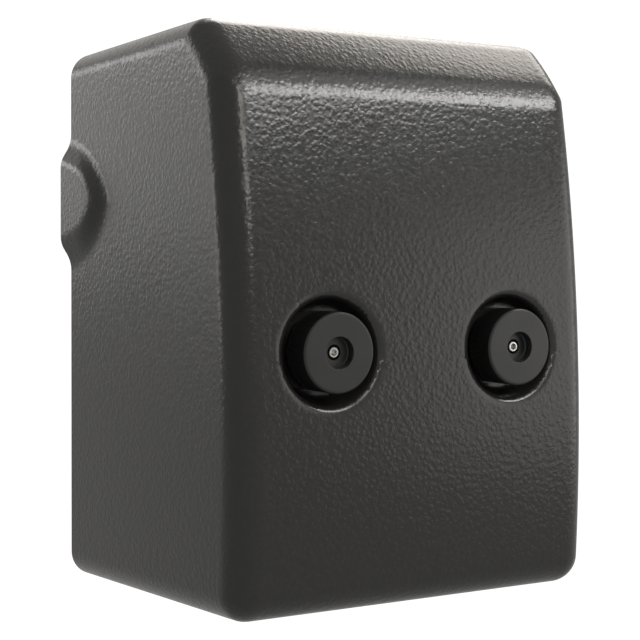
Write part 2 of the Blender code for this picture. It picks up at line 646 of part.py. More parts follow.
def module_housing(name, centre):
    """The can behind a lens: a flange in front, a ledge for the board and a hole for the wire."""
    flange_front, flange_rear = 0.0108, FRAME_FRONT_Y + CLEARANCE
    wire_hole, floor = 0.004, MODULE_REAR_Y + 0.0025
    ledge, inside, mouth = 0.046, 0.049, 0.0512
    ledge_y, seat_y = -0.0313, 0.0022
    profile = [(MODULE_FLANGE_RADIUS, flange_front), (MODULE_FLANGE_RADIUS, flange_rear),
               (MODULE_RADIUS, flange_rear), (MODULE_RADIUS, MODULE_REAR_Y),
               (wire_hole, MODULE_REAR_Y), (wire_hole, floor), (ledge, floor), (ledge, ledge_y),
               (inside, ledge_y), (inside, seat_y), (mouth, seat_y), (mouth, flange_front)]
    turned("module_housing_" + name, profile, "grey_plastic", centre)
    ring("led_board_" + name, 0.003, inside - 0.0005, ledge_y + CLEARANCE, ledge_y + 0.0019, "board",
         centre)


def lens(name, centre):
    """A shallow dome with a flange that the bezel clamps and a skirt that holds the mask."""
    rise, edge, thickness, crown = 0.0100, 0.050, 0.0025, 0.0240
    outer, inner = [], []
    for step in range(4):
        angle = step / 3 * math.pi / 2
        drop = rise * (1 - math.cos(angle))
        outer.append((edge * math.sin(angle), crown - drop))
        inner.append(((edge - thickness) * math.sin(angle), crown - thickness - drop * 0.9))
    profile = outer + [(edge, 0.0131), (0.056, 0.0131), (0.056, 0.0111), (0.0505, 0.0111),
                       (0.0505, 0.0063), (0.0475, 0.0063)] + inner[::-1]
    turned("lens_" + name, profile, "clear_lens", centre)
    ring("lens_gasket_" + name, 0.0505, 0.0565, 0.0134, 0.0154, "rubber", centre)


def limb(name, start, end, radius, low_y, high_y):
    """A bar with round ends between two (x, z) points, as a cutter through the mask."""
    bm = bmesh.new()
    for x, z in (start, end):
        for step in range(8):
            angle = 2 * math.pi * (step + 0.3) / 8
            for y in (low_y, high_y):
                bm.verts.new((x + radius * math.cos(angle), y, z + radius * math.sin(angle)))
    hull = bmesh.ops.convex_hull(bm, input=bm.verts)
    spare = [item for item in hull["geom_interior"] if isinstance(item, bmesh.types.BMVert)]
    bmesh.ops.delete(bm, geom=spare, context="VERTS")
    bmesh.ops.recalc_face_normals(bm, faces=bm.faces)
    return from_bmesh(name, bm, None)


# Bars of each figure in millimetres about the lens centre: (start, end, radius)
STANDING = [((0, 28), (0, 29), 6), ((0, 13.7), (0, 2), 7.6), ((-9.3, 15), (9.3, 15), 4.5),
            ((-13, 14.3), (-14, -6), 3), ((13, 14.3), (14, -6), 3),
            ((-4.4, 1.3), (-5, -33), 4), ((4.4, 1.3), (5, -33), 4)]
WALKING = [((3, 28), (3, 29), 6), ((1, 14), (-1, 0), 6.5), ((1, 16), (12, 5), 3),
           ((12, 5), (18, 0), 3), ((0, 16), (-11, 7), 3), ((-11, 7), (-13, -3), 3),
           ((0, 0), (9, -15), 4), ((9, -15), (12, -33), 3.5),
           ((-2, 0), (-7, -16), 4), ((-7, -16), (-18, -29), 3.5)]


def symbol_mask(name, centre, figure):
    mask = rod("symbol_mask_" + name, 0.0503, 0.0045, 0.0060, "black_plastic", centre, steps=28)
    for index, (start, end, radius) in enumerate(figure):
        points = [(centre[0] + x / 1000, centre[1] + z / 1000) for x, z in (start, end)]
        cut(mask, limb("%s_limb_%d" % (name, index), *points, radius / 1000, 0.0, 0.01))


def visor(name, centre):
    """A tunnel visor with a flange, its underside cut away on a slant."""
    seat = BEZEL_FRONT_Y + CLEARANCE
    flange_front = seat + VISOR_FLANGE
    inner = VISOR_RADIUS - 0.002
    profile = [(VISOR_RADIUS, VISOR_END_Y), (VISOR_RADIUS, flange_front),
               (VISOR_FLANGE_RADIUS, flange_front), (VISOR_FLANGE_RADIUS, seat), (inner, seat),
               (inner, VISOR_END_Y)]
    body = turned("visor_" + name, profile, "black_plastic", centre)
    slant = block(name + "_slant", (-0.08, 0.0, -0.15), (0.08, 0.2, 0.0), None)
    slant.location = (0.0, seat + 0.006, centre[1] - VISOR_RADIUS)
    slant.rotation_euler = (VISOR_SLANT, 0.0, 0.0)
    cut(body, slant)
    head = flange_front + CLEARANCE
    for side_name, side in SIDES.items():
        place = (side * VISOR_SCREW_X, centre[1])
        cut(body, rod("%s_flange_hole_%s" % (name, side_name), M3_RADIUS + CLEARANCE, 0.0, 0.03, None,
                      place))
        screw("visor_screw_%s_%s" % (name, side_name), place, 0.0026, M3_RADIUS, head + 0.0018, head,
              0.0160)


def aspects():
    looks = {"upper": ("red_diffuser", STANDING), "lower": ("green_diffuser", WALKING)}
    for name, height in ASPECTS.items():
        centre = (0.0, height)
        colour, figure = looks[name]
        module_housing(name, centre)
        rod("diffuser_" + name, 0.0503, 0.0025, 0.0042, colour, centre, steps=28)
        symbol_mask(name, centre, figure)
        lens(name, centre)
        visor(name, centre)


def build():
    rear_cover()
    for side_name, side in SIDES.items():
        knob(side_name, side)
        stud(side_name, side)
    base_frame()
    gaskets()
    mounting_plate()
    screws()
    power_supply()
    terminal_block()
    wires()
    bosses()
    bezel()
    aspects()


build()
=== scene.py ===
"""Looks for the compact pedestrian signal head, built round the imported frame.

Lengths are metres. Most shapes are worked out in rim coordinates: Y = 0 on the cover's rim plane,
Z = 0 on the bottom of the rim, both read from the frame. The cover reaches towards -Y.
"""
import json
import math

import bmesh
import bpy
import numpy as np
from mathutils import Matrix, Vector


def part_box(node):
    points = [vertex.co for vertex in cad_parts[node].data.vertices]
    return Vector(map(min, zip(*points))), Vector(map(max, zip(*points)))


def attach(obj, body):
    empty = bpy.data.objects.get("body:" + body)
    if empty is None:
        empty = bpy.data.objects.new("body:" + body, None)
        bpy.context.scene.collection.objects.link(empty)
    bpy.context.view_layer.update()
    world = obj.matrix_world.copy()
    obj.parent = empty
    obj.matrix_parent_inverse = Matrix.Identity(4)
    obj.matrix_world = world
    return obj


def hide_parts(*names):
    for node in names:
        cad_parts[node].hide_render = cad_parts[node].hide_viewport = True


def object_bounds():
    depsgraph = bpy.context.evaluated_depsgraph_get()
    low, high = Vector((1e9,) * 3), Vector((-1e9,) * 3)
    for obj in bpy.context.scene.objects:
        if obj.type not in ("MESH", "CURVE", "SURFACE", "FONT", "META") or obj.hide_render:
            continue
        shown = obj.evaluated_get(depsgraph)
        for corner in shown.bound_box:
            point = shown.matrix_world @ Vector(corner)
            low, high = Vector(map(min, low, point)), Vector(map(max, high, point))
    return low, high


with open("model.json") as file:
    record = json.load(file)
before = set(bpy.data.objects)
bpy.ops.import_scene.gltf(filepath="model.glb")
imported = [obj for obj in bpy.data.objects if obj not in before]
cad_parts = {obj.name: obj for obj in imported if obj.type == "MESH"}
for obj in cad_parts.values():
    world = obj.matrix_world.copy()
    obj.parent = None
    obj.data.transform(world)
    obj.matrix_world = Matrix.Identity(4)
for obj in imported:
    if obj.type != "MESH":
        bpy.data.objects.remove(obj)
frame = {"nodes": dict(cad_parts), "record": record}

CAD_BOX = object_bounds()

# ---- places read from the frame --------------------------
COVER_LOW, COVER_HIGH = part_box("rear_cover")
RIM_Y = COVER_HIGH.y
FOOT_Z = COVER_LOW.z
RIM_ORIGIN = Vector((0.0, RIM_Y, FOOT_Z))
KNOB_LOW, KNOB_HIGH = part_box("knob_right")
KNOB_X = (KNOB_LOW.x + KNOB_HIGH.x) / 2
KNOB_Z = (KNOB_LOW.z + KNOB_HIGH.z) / 2 - FOOT_Z
KNOB_FACE_Y = KNOB_LOW.y - RIM_Y
STUD_END_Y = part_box("stud_right")[0].y - RIM_Y
SIDES = {"left": -1, "right": 1}
ASPECTS = {}
for aspect in ("lower", "upper"):
    lens_low, lens_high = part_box("lens_" + aspect)
    ASPECTS[aspect] = (lens_low.z + lens_high.z) / 2 - FOOT_Z

# ---- sizes on the signal side, the CAD's -----------------
SCREW_X = 0.096
SCREW_INSET = 0.0115           # from the bezel's ends to its outer screws
VISOR_SCREW_X = 0.061
VISOR_HOLE_RADIUS = 0.0018
VISOR_SLANT = math.radians(30.0)
APERTURE_RADIUS = 0.051
THROUGH = 0.01                 # how far a cutter passes the faces that it opens

# ---- sizes of the cover ----------------------------------
# The CAD's, but for the radius of the slope's foot, the pockets' floor and taper, and the blends.
COVER_WIDTH = 0.2271
COVER_HEIGHT = 0.300
WALL = 0.003
DRAFT = 0.0236
SLOPE_TOP = (-0.1441, 0.3041)
SLOPE_FOOT = (-0.1726, 0.2736)
FRONT_FOOT = (-0.1896, 0.0080)
FRONT_BOW = 0.0085
EDGE_RADIUS = 0.0146
SLOPE_TOP_RADIUS = 0.020
SLOPE_FOOT_RADIUS = 0.045
SLOPE_BOW = 0.0013
BULGE_Z = 0.215
BULGE_HEIGHT = 0.0064
BULGE_FOOT = (0.0338, 0.0200, 0.0525, 0.0240)  # half height at rim and tip, depth, corner radius
BULGE_CROWN = (0.0232, 0.0103, 0.0395, 0.0125)
POCKET_FLOOR_Y = -0.1775
POCKET_FLOOR_RADIUS = 0.0237
POCKET_TAPER = 0.29
SHANK_HOLE_RADIUS = 0.0066
BOSS_SLOT_GAP = 0.0015         # between a boss and the slot that straddles it
OVERRUN = 0.006                # how far the skins pass the rim before they are cut off there
COVER_GRID = ((-0.126, -0.196, -0.006), (0.126, 0.012, 0.310))
BULGE_BLEND = 0.0022           # fillet between a bulge and its wall
BULGE_CROWN_ROUND = 0.0016
BULGE_ROOT = 0.012             # how far a bulge reaches into the wall
POCKET_LIP = 0.0027
POCKET_FILLET = 0.0015

# ---- camera ----------------------------------------------
CAMERA_PLACE = (-0.4532, -0.8334, 0.1863)   # in rim coordinates
CAMERA_YAW, CAMERA_PITCH, CAMERA_ROLL = (math.radians(a) for a in (31.288, -2.427, 0.321))
CAMERA_LENS = 87.28


def camera():
    forward = Vector((math.sin(CAMERA_YAW) * math.cos(CAMERA_PITCH),
                      math.cos(CAMERA_YAW) * math.cos(CAMERA_PITCH), math.sin(CAMERA_PITCH)))
    level_right = Vector((math.cos(CAMERA_YAW), -math.sin(CAMERA_YAW), 0.0))
    level_up = level_right.cross(forward)
    right = level_right * math.cos(CAMERA_ROLL) + level_up * math.sin(CAMERA_ROLL)
    up = level_up * math.cos(CAMERA_ROLL) - level_right * math.sin(CAMERA_ROLL)
    data = bpy.data.cameras.new("photo_camera")
    data.lens = CAMERA_LENS
    data.sensor_width = 36.0
    obj = bpy.data.objects.new("photo_camera", data)
    turn = Matrix((right, up, -forward)).transposed().to_4x4()
    place = Vector(CAMERA_PLACE) + RIM_ORIGIN
    obj.matrix_world = Matrix.Translation(place) @ turn
    bpy.context.scene.collection.objects.link(obj)
    bpy.context.scene.camera = obj


# ---- lights ----------------------------------------------
AMBIENT = 0.53
FLOOR_RADIUS = 1.3
WARM, NEUTRAL = (1.0, 0.94, 0.87), (1.0, 0.985, 0.96)
# name, bearing, elevation, distance, width, height, radiance, colour
PANELS = (
    ("overhead", 126.0, 48.0, 1.5, 1.3, 0.7, 4.3, WARM),
    ("rear_right", 145.0, 20.0, 1.6, 0.8, 0.7, 1.5, NEUTRAL),
    ("front_window", 40.0, 34.2, 1.5, 1.0, 0.27, 13.0, NEUTRAL),
    ("window_top", 42.0, 47.0, 1.5, 1.0, 0.3, 1.0, NEUTRAL),
    ("front_strip", -1.0, 27.0, 1.5, 0.36, 0.6, 5.5, WARM),
    ("right_fill", 59.0, 2.0, 1.3, 1.2, 0.6, 1.35, NEUTRAL),
    ("rear_left", -162.0, 8.0, 2.0, 1.1, 0.54, 0.75, NEUTRAL),
    ("rear_line", -150.0, 16.0, 2.0, 0.6, 0.3, 2.5, NEUTRAL),
    ("rear_strip", -136.5, 12.0, 2.0, 0.36, 1.1, 2.0, NEUTRAL),
    ("rear_upper", -172.0, 29.0, 2.0, 1.6, 0.5, 0.45, WARM),
    ("lens_side", 178.0, 4.0, 1.8, 1.0, 0.5, 1.8, NEUTRAL),
)


# ---- materials -------------------------------------------
class Surface:
    """A Principled material whose bump and roughness come from procedural textures."""

    def __init__(self, name, colour, roughness, metallic=0.0, **sockets):
        self.material = bpy.data.materials.new(name)
        self.material.use_nodes = True
        self.nodes = self.material.node_tree.nodes
        self.links = self.material.node_tree.links
        self.shader = self.nodes["Principled BSDF"]
        self.colour = colour
        self.shader.inputs["Base Color"].default_value = (*colour, 1.0)
        self.shader.inputs["Roughness"].default_value = roughness
        self.shader.inputs["Metallic"].default_value = metallic
        for socket, value in sockets.items():
            self.shader.inputs[socket.replace("_", " ")].default_value = value
        self.material.diffuse_color = (*colour, 1.0)
        self.mm = None

    def texture(self, kind, vector=None, **values):
        """A texture node at the surface's position, or at the given vector."""
        node = self.nodes.new("ShaderNodeTex" + kind)
        for socket, value in values.items():
            node.inputs[socket.replace("_", " ")].default_value = value
        self.links.new(vector or self.place(), node.inputs["Vector"])
        return node

    def vector(self, operation, first):
        node = self.nodes.new("ShaderNodeVectorMath")
        node.operation = operation
        self.links.new(first, node.inputs[0])
        return node

    def place(self):
        """The surface's position in millimetres."""
        if self.mm is None:
            coordinates = self.nodes.new("ShaderNodeTexCoord")
            scale = self.vector("SCALE", coordinates.outputs["Object"])
            scale.inputs["Scale"].default_value = 1000.0
            self.mm = scale.outputs["Vector"]
        return self.mm

    def noise(self, size, detail=3.0, roughness=0.5, vector=None):
        """Noise whose features are about size millimetres across, from 0 to 1."""
        return self.texture("Noise", vector, Scale=1.0 / size, Detail=detail,
                            Roughness=roughness).outputs["Fac"]

    def math(self, operation, first, second=None, third=None):
        node = self.nodes.new("ShaderNodeMath")
        node.operation = operation
        for socket, value in zip(node.inputs, (first, second, third)):
            if value is None:
                continue
            if isinstance(value, (int, float)):
                socket.default_value = value
            else:
                self.links.new(value, socket)
        return node.outputs[0]

    def spread(self, value, low, high, new_low, new_high):
        """Map a value smoothly from one range to another."""
        node = self.nodes.new("ShaderNodeMapRange")
        node.interpolation_type = "SMOOTHSTEP"
        for key, number in (("From Min", low), ("From Max", high),
                            ("To Min", new_low), ("To Max", new_high)):
            node.inputs[key].default_value = number
        self.links.new(value, node.inputs["Value"])
        return node.outputs["Result"]

    def tint(self, factor, low, high):
        """Colour the surface between two multiples of its base colour."""
        node = self.nodes.new("ShaderNodeMix")
        node.data_type = "RGBA"
        node.inputs["A"].default_value = (*(c * low for c in self.colour), 1.0)
        node.inputs["B"].default_value = (*(c * high for c in self.colour), 1.0)
        self.links.new(factor, node.inputs["Factor"])
        self.links.new(node.outputs["Result"], self.shader.inputs["Base Color"])

    def rough(self, factor, low, high):
        self.links.new(self.spread(factor, 0.3, 0.7, low, high), self.shader.inputs["Roughness"])

    def bump(self, height, depth):
        """Raise the surface by height times depth, in millimetres."""
        node = self.nodes.new("ShaderNodeBump")
        node.inputs["Strength"].default_value = 1.0
        node.inputs["Distance"].default_value = depth / 1000.0
        self.links.new(height, node.inputs["Height"])
        self.links.new(node.outputs["Normal"], self.shader.inputs["Normal"])


def grained_plastic():
    """Satin black sheet with a leather grain of shallow cells, smoother round the knobs' pockets."""
    s = Surface("grained_cover", (0.0125, 0.0122, 0.0118), 0.3)
    warp = s.texture("Noise", Scale=0.45, Detail=2.0)
    moved = s.vector("MULTIPLY_ADD", warp.outputs["Color"])
    moved.inputs[1].default_value = (2.6, 2.6, 2.6)
    s.links.new(s.place(), moved.inputs[2])
    cells = s.texture("Voronoi", moved.outputs["Vector"], Scale=1.0 / 2.7)
    cells.feature = "SMOOTH_F1"
    cells.inputs["Smoothness"].default_value = 0.4
    pebble = s.spread(cells.outputs["Distance"], 0.1, 0.75, 1.0, 0.0)
    wrinkle = s.noise(2.0, 2.0, 0.5, moved.outputs["Vector"])
    broad = s.noise(7.0, 2.0)
    height = s.math("MULTIPLY_ADD", wrinkle, 0.6, pebble)
    height = s.math("MULTIPLY_ADD", broad, 0.3, height)
    s.bump(s.math("MULTIPLY", height, away_from_pockets(s)), 0.075)
    s.rough(wrinkle, 0.19, 0.27)
    s.tint(s.math("MULTIPLY", height, 0.55), 0.85, 1.15)
    return s.material


def away_from_pockets(s):
    """A factor that falls off towards the mouth of each pocket, where the moulding is smoother."""
    split = s.nodes.new("ShaderNodeSeparateXYZ")
    s.links.new(s.place(), split.inputs["Vector"])
    aside = s.math("SUBTRACT", s.math("ABSOLUTE", split.outputs["X"]), 1000.0 * KNOB_X)
    up = s.math("SUBTRACT", split.outputs["Z"], 1000.0 * (KNOB_Z + FOOT_Z))
    radial = s.math("SQRT", s.math("ADD", s.math("MULTIPLY", aside, aside), s.math("MULTIPLY", up, up)))
    return s.spread(radial, 28.5, 34.0, 0.12, 1.0)


def moulded_plastic(name, colour, roughness, grain, depth=0.012):
    s = Surface(name, colour, roughness)
    fine = s.noise(grain, 3.0)
    broad = s.noise(14.0, 3.0)
    s.bump(s.math("MULTIPLY_ADD", broad, 0.6, fine), depth)
    s.rough(broad, roughness - 0.04, roughness + 0.04)
    s.tint(broad, 0.93, 1.07)
    return s.material


def rubber(name):
    s = Surface(name, (0.012, 0.012, 0.012), 0.75)
    fine = s.noise(0.35, 4.0, 0.6)
    s.bump(fine, 0.03)
    s.rough(fine, 0.68, 0.85)
    s.tint(s.noise(5.0), 0.7, 1.4)
    return s.material


def metal(name, colour, roughness, grain=0.25, depth=0.004):
    s = Surface(name, colour, roughness, 1.0)
    fine = s.noise(grain, 4.0, 0.6)
    broad = s.noise(6.0, 3.0)
    s.bump(fine, depth)
    s.rough(s.math("MULTIPLY_ADD", broad, 0.5, s.math("MULTIPLY", fine, 0.5)), roughness - 0.08,
            roughness + 0.12)
    s.tint(broad, 0.85, 1.08)
    return s.material


# ---- mesh helpers ----------------------------------------
def add_piece(name, mesh, material, node, body="chassis"):
    """Link a finished mesh, made in rim coordinates, as a piece of the given body.

    It replaces the CAD node, or is extra detail if that is None.
    """
    mesh.transform(Matrix.Translation(RIM_ORIGIN))
    obj = linked(name, mesh)
    mesh.materials.clear()
    mesh.materials.append(material)
    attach(obj, body)
    if node is not None:
        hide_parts(node)


def smooth(mesh, angle=35.0):
    mesh.shade_smooth()
    mesh.set_sharp_from_angle(angle=math.radians(angle))
    return mesh


def linked(name, data):
    obj = bpy.data.objects.new(name, data)
    bpy.context.scene.collection.objects.link(obj)
    return obj


def cut(mesh):
    return "DIFFERENCE", mesh


def join(mesh):
    return "UNION", mesh


def carve(mesh, tools, solver="EXACT"):
    """The mesh after Boolean steps, made by cut and join."""
    obj = linked("work", mesh)
    used = [obj]
    for operation, tool_mesh in tools:
        tool = linked("tool", tool_mesh)
        used.append(tool)
        modifier = obj.modifiers.new("step", "BOOLEAN")
        modifier.operation = operation
        modifier.solver = solver
        modifier.object = tool
    result = baked(obj)
    for item in used:
        bpy.data.objects.remove(item)
    return result


def baked(obj):
    graph = bpy.context.evaluated_depsgraph_get()
    return bpy.data.meshes.new_from_object(obj.evaluated_get(graph), depsgraph=graph)


def finished(bm, name):
    mesh = bpy.data.meshes.new(name)
    bm.to_mesh(mesh)
    bm.free()
    return mesh


def box_between(low, high):
    bm = bmesh.new()
    bmesh.ops.create_cube(bm, size=1.0)
    for vert in bm.verts:
        for axis in range(3):
            vert.co[axis] = high[axis] if vert.co[axis] > 0.0 else low[axis]
    return bm


def block_mesh(low, high):
    return finished(box_between(low, high), "block")


def axis_matrix(centre, along):
    """From a shape's own Z to an axis along Y through (x, z), or along Z through (x, y)."""
    if along == "Y":
        return Matrix.Translation((centre[0], 0.0, centre[1])) @ Matrix.Rotation(-math.pi / 2, 4, "X")
    return Matrix.Translation((centre[0], centre[1], 0.0))


def cylinder_mesh(radius, low, high, centre, along="Y", steps=64):
    bm = bmesh.new()
    bmesh.ops.create_cone(bm, cap_ends=True, segments=steps, radius1=radius, radius2=radius,
                          depth=high - low, matrix=Matrix.Translation((0.0, 0.0, (high + low) / 2)))
    mesh = finished(bm, "cylinder")
    mesh.transform(axis_matrix(centre, along))
    return mesh


def turned_mesh(profile, centre, along="Y", steps=96, ripple=None):
    """Spin (radius, position) points, given down the outer side, about an axis.

    A profile that starts on the axis is a solid, any other is a ring. ripple(row, step) is added
    to a point's radius.
    """
    solid = profile[0][0] == 0.0
    rows = profile[1:-1] if solid else profile
    verts, faces = [], []
    for row, (radius, position) in enumerate(rows):
        for step in range(steps):
            angle = 2 * math.pi * step / steps
            r = radius if ripple is None else radius + ripple(row, step)
            verts.append((r * math.cos(angle), r * math.sin(angle), position))
    count = len(rows)
    spans = count - 1 if solid else count
    for row in range(spans):
        after = (row + 1) % count
        for step in range(steps):
            following = (step + 1) % steps
            faces.append((row * steps + step, after * steps + step, after * steps + following,
                          row * steps + following))
    if solid:
        for end, row, turn in ((0, 0, 1), (-1, count - 1, -1)):
            verts.append((0.0, 0.0, profile[end][1]))
            middle = len(verts) - 1
            for step in range(steps):
                corner = (row * steps + step, row * steps + (step + 1) % steps)
                faces.append((middle, *corner[::turn]))
    mesh = bpy.data.meshes.new("turned")
    mesh.from_pydata(verts, [], faces)
    mesh.transform(axis_matrix(centre, along))
    return outward(mesh)


def outward(mesh):
    bm = bmesh.new()
    bm.from_mesh(mesh)
    bmesh.ops.recalc_face_normals(bm, faces=bm.faces)
    bm.to_mesh(mesh)
    bm.free()
    return mesh


def rim_box(node):
    """A node's lowest and highest corners in rim coordinates."""
    low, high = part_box(node)
    return low - RIM_ORIGIN, high - RIM_ORIGIN


def upright(low, high):
    """Where the axis of a round piece that stands along Z is, as (x, y), and its radius."""
    return (0.0, (low.y + high.y) / 2), (high.x - low.x) / 2


# ---- rear cover ------------------------------------------
def rounded_and(first, second, radius):
    """Distance to the space inside both surfaces, with the edge between them rounded."""
    return (np.minimum(np.maximum(first, second), -radius)
            + np.hypot(np.maximum(first + radius, 0.0), np.maximum(second + radius, 0.0)))


def rounded_or(first, second, radius):
    """Distance to the space inside either surface, with the corner between them filled."""
    return (np.maximum(np.minimum(first, second), radius)
            - np.hypot(np.maximum(radius - first, 0.0), np.maximum(radius - second, 0.0)))


def beyond_line(y, z, start, end):
    """Signed distance outside a straight stretch of the side outline, walked clockwise."""
    run, rise = end[0] - start[0], end[1] - start[1]
    return ((y - start[0]) * -rise + (z - start[1]) * run) / math.hypot(run, rise)


def bow_arc(start, end, bow):
    """Radius of a bowed stretch, and the angle between it and its chord at either end."""
    length = math.dist(start, end)
    radius = length ** 2 / (8 * bow) + bow / 2
    return radius, math.asin(length / 2 / radius)


def beyond_bow(y, z, start, end, bow):
    """Signed distance outside a stretch bowed over its chord, running on straight past its ends."""
    run, rise = end[0] - start[0], end[1] - start[1]
    length = math.hypot(run, rise)
    radius, turn = bow_arc(start, end, bow)
    along = np.abs(((y - start[0]) * run + (z - start[1]) * rise) / length - length / 2)
    above = ((z - start[1]) * run - (y - start[0]) * rise) / length + radius - bow
    straight = along * math.sin(turn) + above * math.cos(turn) - radius
    return np.where(along > above * math.tan(turn), straight, np.hypot(along, above) - radius)


def fold_reach(radius, before, corner, after, bows):
    """The rounding depth that gives a fold its radius. bows is the turn that its sides' bows take."""
    turn = (math.atan2(after[1] - corner[1], after[0] - corner[0])
            - math.atan2(corner[1] - before[1], corner[0] - before[0]))
    return radius * 2 * math.sin((abs(turn) - bows) / 2) ** 2


def half_width(y):
    return COVER_WIDTH / 2 + DRAFT * y


def side_profile(y, z):
    rim_bottom, rim_top = (0.0, 0.0), (0.0, COVER_HEIGHT)
    front = beyond_bow(y, z, FRONT_FOOT, SLOPE_FOOT, FRONT_BOW)
    slope = beyond_bow(y, z, SLOPE_FOOT, SLOPE_TOP, SLOPE_BOW)
    top = beyond_line(y, z, SLOPE_TOP, rim_top)
    bottom = beyond_line(y, z, rim_bottom, FRONT_FOOT)
    slope_turn = bow_arc(SLOPE_FOOT, SLOPE_TOP, SLOPE_BOW)[1]
    front_turn = bow_arc(FRONT_FOOT, SLOPE_FOOT, FRONT_BOW)[1]
    foot_reach = fold_reach(SLOPE_FOOT_RADIUS, FRONT_FOOT, SLOPE_FOOT, SLOPE_TOP,
                            slope_turn + front_turn)
    top_reach = fold_reach(SLOPE_TOP_RADIUS, SLOPE_FOOT, SLOPE_TOP, rim_top, slope_turn)
    shape = rounded_and(front, slope, foot_reach)
    shape = rounded_and(shape, top, top_reach)
    return rounded_and(shape, bottom, EDGE_RADIUS)


def bulge_shape(x, y, z):
    """The tapered swelling on each side wall."""
    level = np.abs(x) - half_width(y)
    height = np.abs(z - BULGE_Z)
    foot_rim, foot_tip, foot_depth, foot_corner = BULGE_FOOT
    crown_rim, _, crown_depth, crown_corner = BULGE_CROWN
    first = Vector((0.0, foot_rim, 0.0))
    wall = (Vector((foot_depth, foot_tip, 0.0)) - first).cross(
        Vector((0.0, crown_rim, BULGE_HEIGHT)) - first).normalized()
    if wall.y < 0.0:
        wall.negate()
    side = -y * wall.x + (height - foot_rim) * wall.y + level * wall.z
    lean = foot_depth - crown_depth
    tip = ((-y - foot_depth) * BULGE_HEIGHT + level * lean) / math.hypot(BULGE_HEIGHT, lean)
    corner = foot_corner + (crown_corner - foot_corner) * np.clip(level / BULGE_HEIGHT, 0.0, 1.0)
    turn = math.pi / 2 - math.atan2(foot_rim - foot_tip, foot_depth)
    shape = rounded_and(side, tip, corner * (1 - math.cos(turn)))
    shape = rounded_and(shape, level - BULGE_HEIGHT, BULGE_CROWN_ROUND)
    return np.maximum(shape, -level - BULGE_ROOT)


def pocket_shape(x, y, z):
    """The tapered recess round each knob."""
    radial = np.hypot(np.abs(x) - KNOB_X, z - KNOB_Z)
    mouth = POCKET_FLOOR_RADIUS + POCKET_TAPER * (POCKET_FLOOR_Y - y)
    wall = (radial - mouth) / math.hypot(1.0, POCKET_TAPER)
    return rounded_and(wall, y - POCKET_FLOOR_Y, POCKET_FILLET)


def cover_skin(x, y, z):
    """Signed distance outside the cover's outer skin."""
    side = (np.abs(x) - half_width(y)) / math.hypot(1.0, DRAFT)
    skin = rounded_and(side_profile(y, z), side, EDGE_RADIUS)
    skin = rounded_or(skin, bulge_shape(x, y, z), BULGE_BLEND)
    return rounded_and(skin, -pocket_shape(x, y, z), POCKET_LIP)


def isosurface(name, field, low, high, step):
    """A closed mesh of quads on the zero level of a signed distance field."""
    axes = [np.arange(a, b + step, step) for a, b in zip(low, high)]
    inside = field(*np.meshgrid(*axes, indexing="ij")) < 0.0
    size = [n - 1 for n in inside.shape]
    count = np.zeros(size, int)
    for i in (0, 1):
        for j in (0, 1):
            for k in (0, 1):
                count += inside[i:i + size[0], j:j + size[1], k:k + size[2]]
    active = (count > 0) & (count < 8)
    number = np.full(size, -1)
    number[active] = np.arange(active.sum())
    points = [axis[cell] + step / 2 for axis, cell in zip(axes, np.nonzero(active))]
    points = settle(field, points, 4)
    quads = []
    for axis in range(3):
        ends = np.moveaxis(inside, axis, 0)
        cells = np.moveaxis(number, axis, 0)
        here, there = ends[:-1, 1:-1, 1:-1], ends[1:, 1:-1, 1:-1]
        ring = [cells[:, :-1, :-1], cells[:, 1:, :-1], cells[:, 1:, 1:], cells[:, :-1, 1:]]
        for mask, order in ((here & ~there, 1), (there & ~here, -1)):
            if axis == 1:
                order = -order
            quads.append(np.stack([corner[mask] for corner in ring][::order], axis=1))
    mesh = bpy.data.meshes.new(name)
    mesh.from_pydata(np.stack(points, axis=1).tolist(), [], np.concatenate(quads).tolist())
    mesh.update()
    return mesh


def settle(field, points, rounds):
    """Move points along the field's slope onto its zero level."""
    nudge = 1e-5
    for _ in range(rounds):
        value = field(*points)
        slope = []
        for axis in range(3):
            ahead = [p + nudge * (axis == i) for i, p in enumerate(points)]
            behind = [p - nudge * (axis == i) for i, p in enumerate(points)]
            slope.append((field(*ahead) - field(*behind)) / (2 * nudge))
        steep = np.maximum(sum(s * s for s in slope), 0.25)
        points = [p - value * s / steep for p, s in zip(points, slope)]
    return points


def rear_cover():
    """The shell: one rounded skin inside another, with holes for the knobs and slots for the bosses."""
    outer_step, inner_step = ((0.0020, 0.0034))
    outer = isosurface("cover_outer", lambda x, y, z: np.maximum(cover_skin(x, y, z), y - OVERRUN),
                       *COVER_GRID, outer_step)
    inner = isosurface("cover_inner", lambda x, y, z: np.maximum(cover_skin(x, y, z) + WALL,
                                                                 y - OVERRUN - WALL),
                       *COVER_GRID, inner_step)
    slot_low, slot_high = rim_box("bottom_boss")
    slot = (slot_high.x - slot_low.x) / 2 + BOSS_SLOT_GAP
    slot_y = (slot_high.y + slot_low.y) / 2
    tools = [cut(inner)]
    for side in SIDES.values():
        tools.append(cut(cylinder_mesh(SHANK_HOLE_RADIUS, POCKET_FLOOR_Y - 0.0075, POCKET_FLOOR_Y + 0.0125,
                                       (side * KNOB_X, KNOB_Z))))
    for bottom, top in ((-0.02, 0.02), (COVER_HEIGHT - 0.02, COVER_HEIGHT + 0.02)):
        tools.append(cut(block_mesh((-slot, slot_y, bottom), (slot, 0.02, top))))
        tools.append(cut(cylinder_mesh(slot, bottom, top, (0.0, slot_y), "Z", 96)))
    tools.append(cut(block_mesh((-0.2, 0.0, -0.1), (0.2, 0.05, 0.4))))
    shell = carve(outer, tools, "MANIFOLD")
    add_piece("cover_shell", smooth(shell, 40.0), grained_plastic(), "rear_cover",
              "cover")


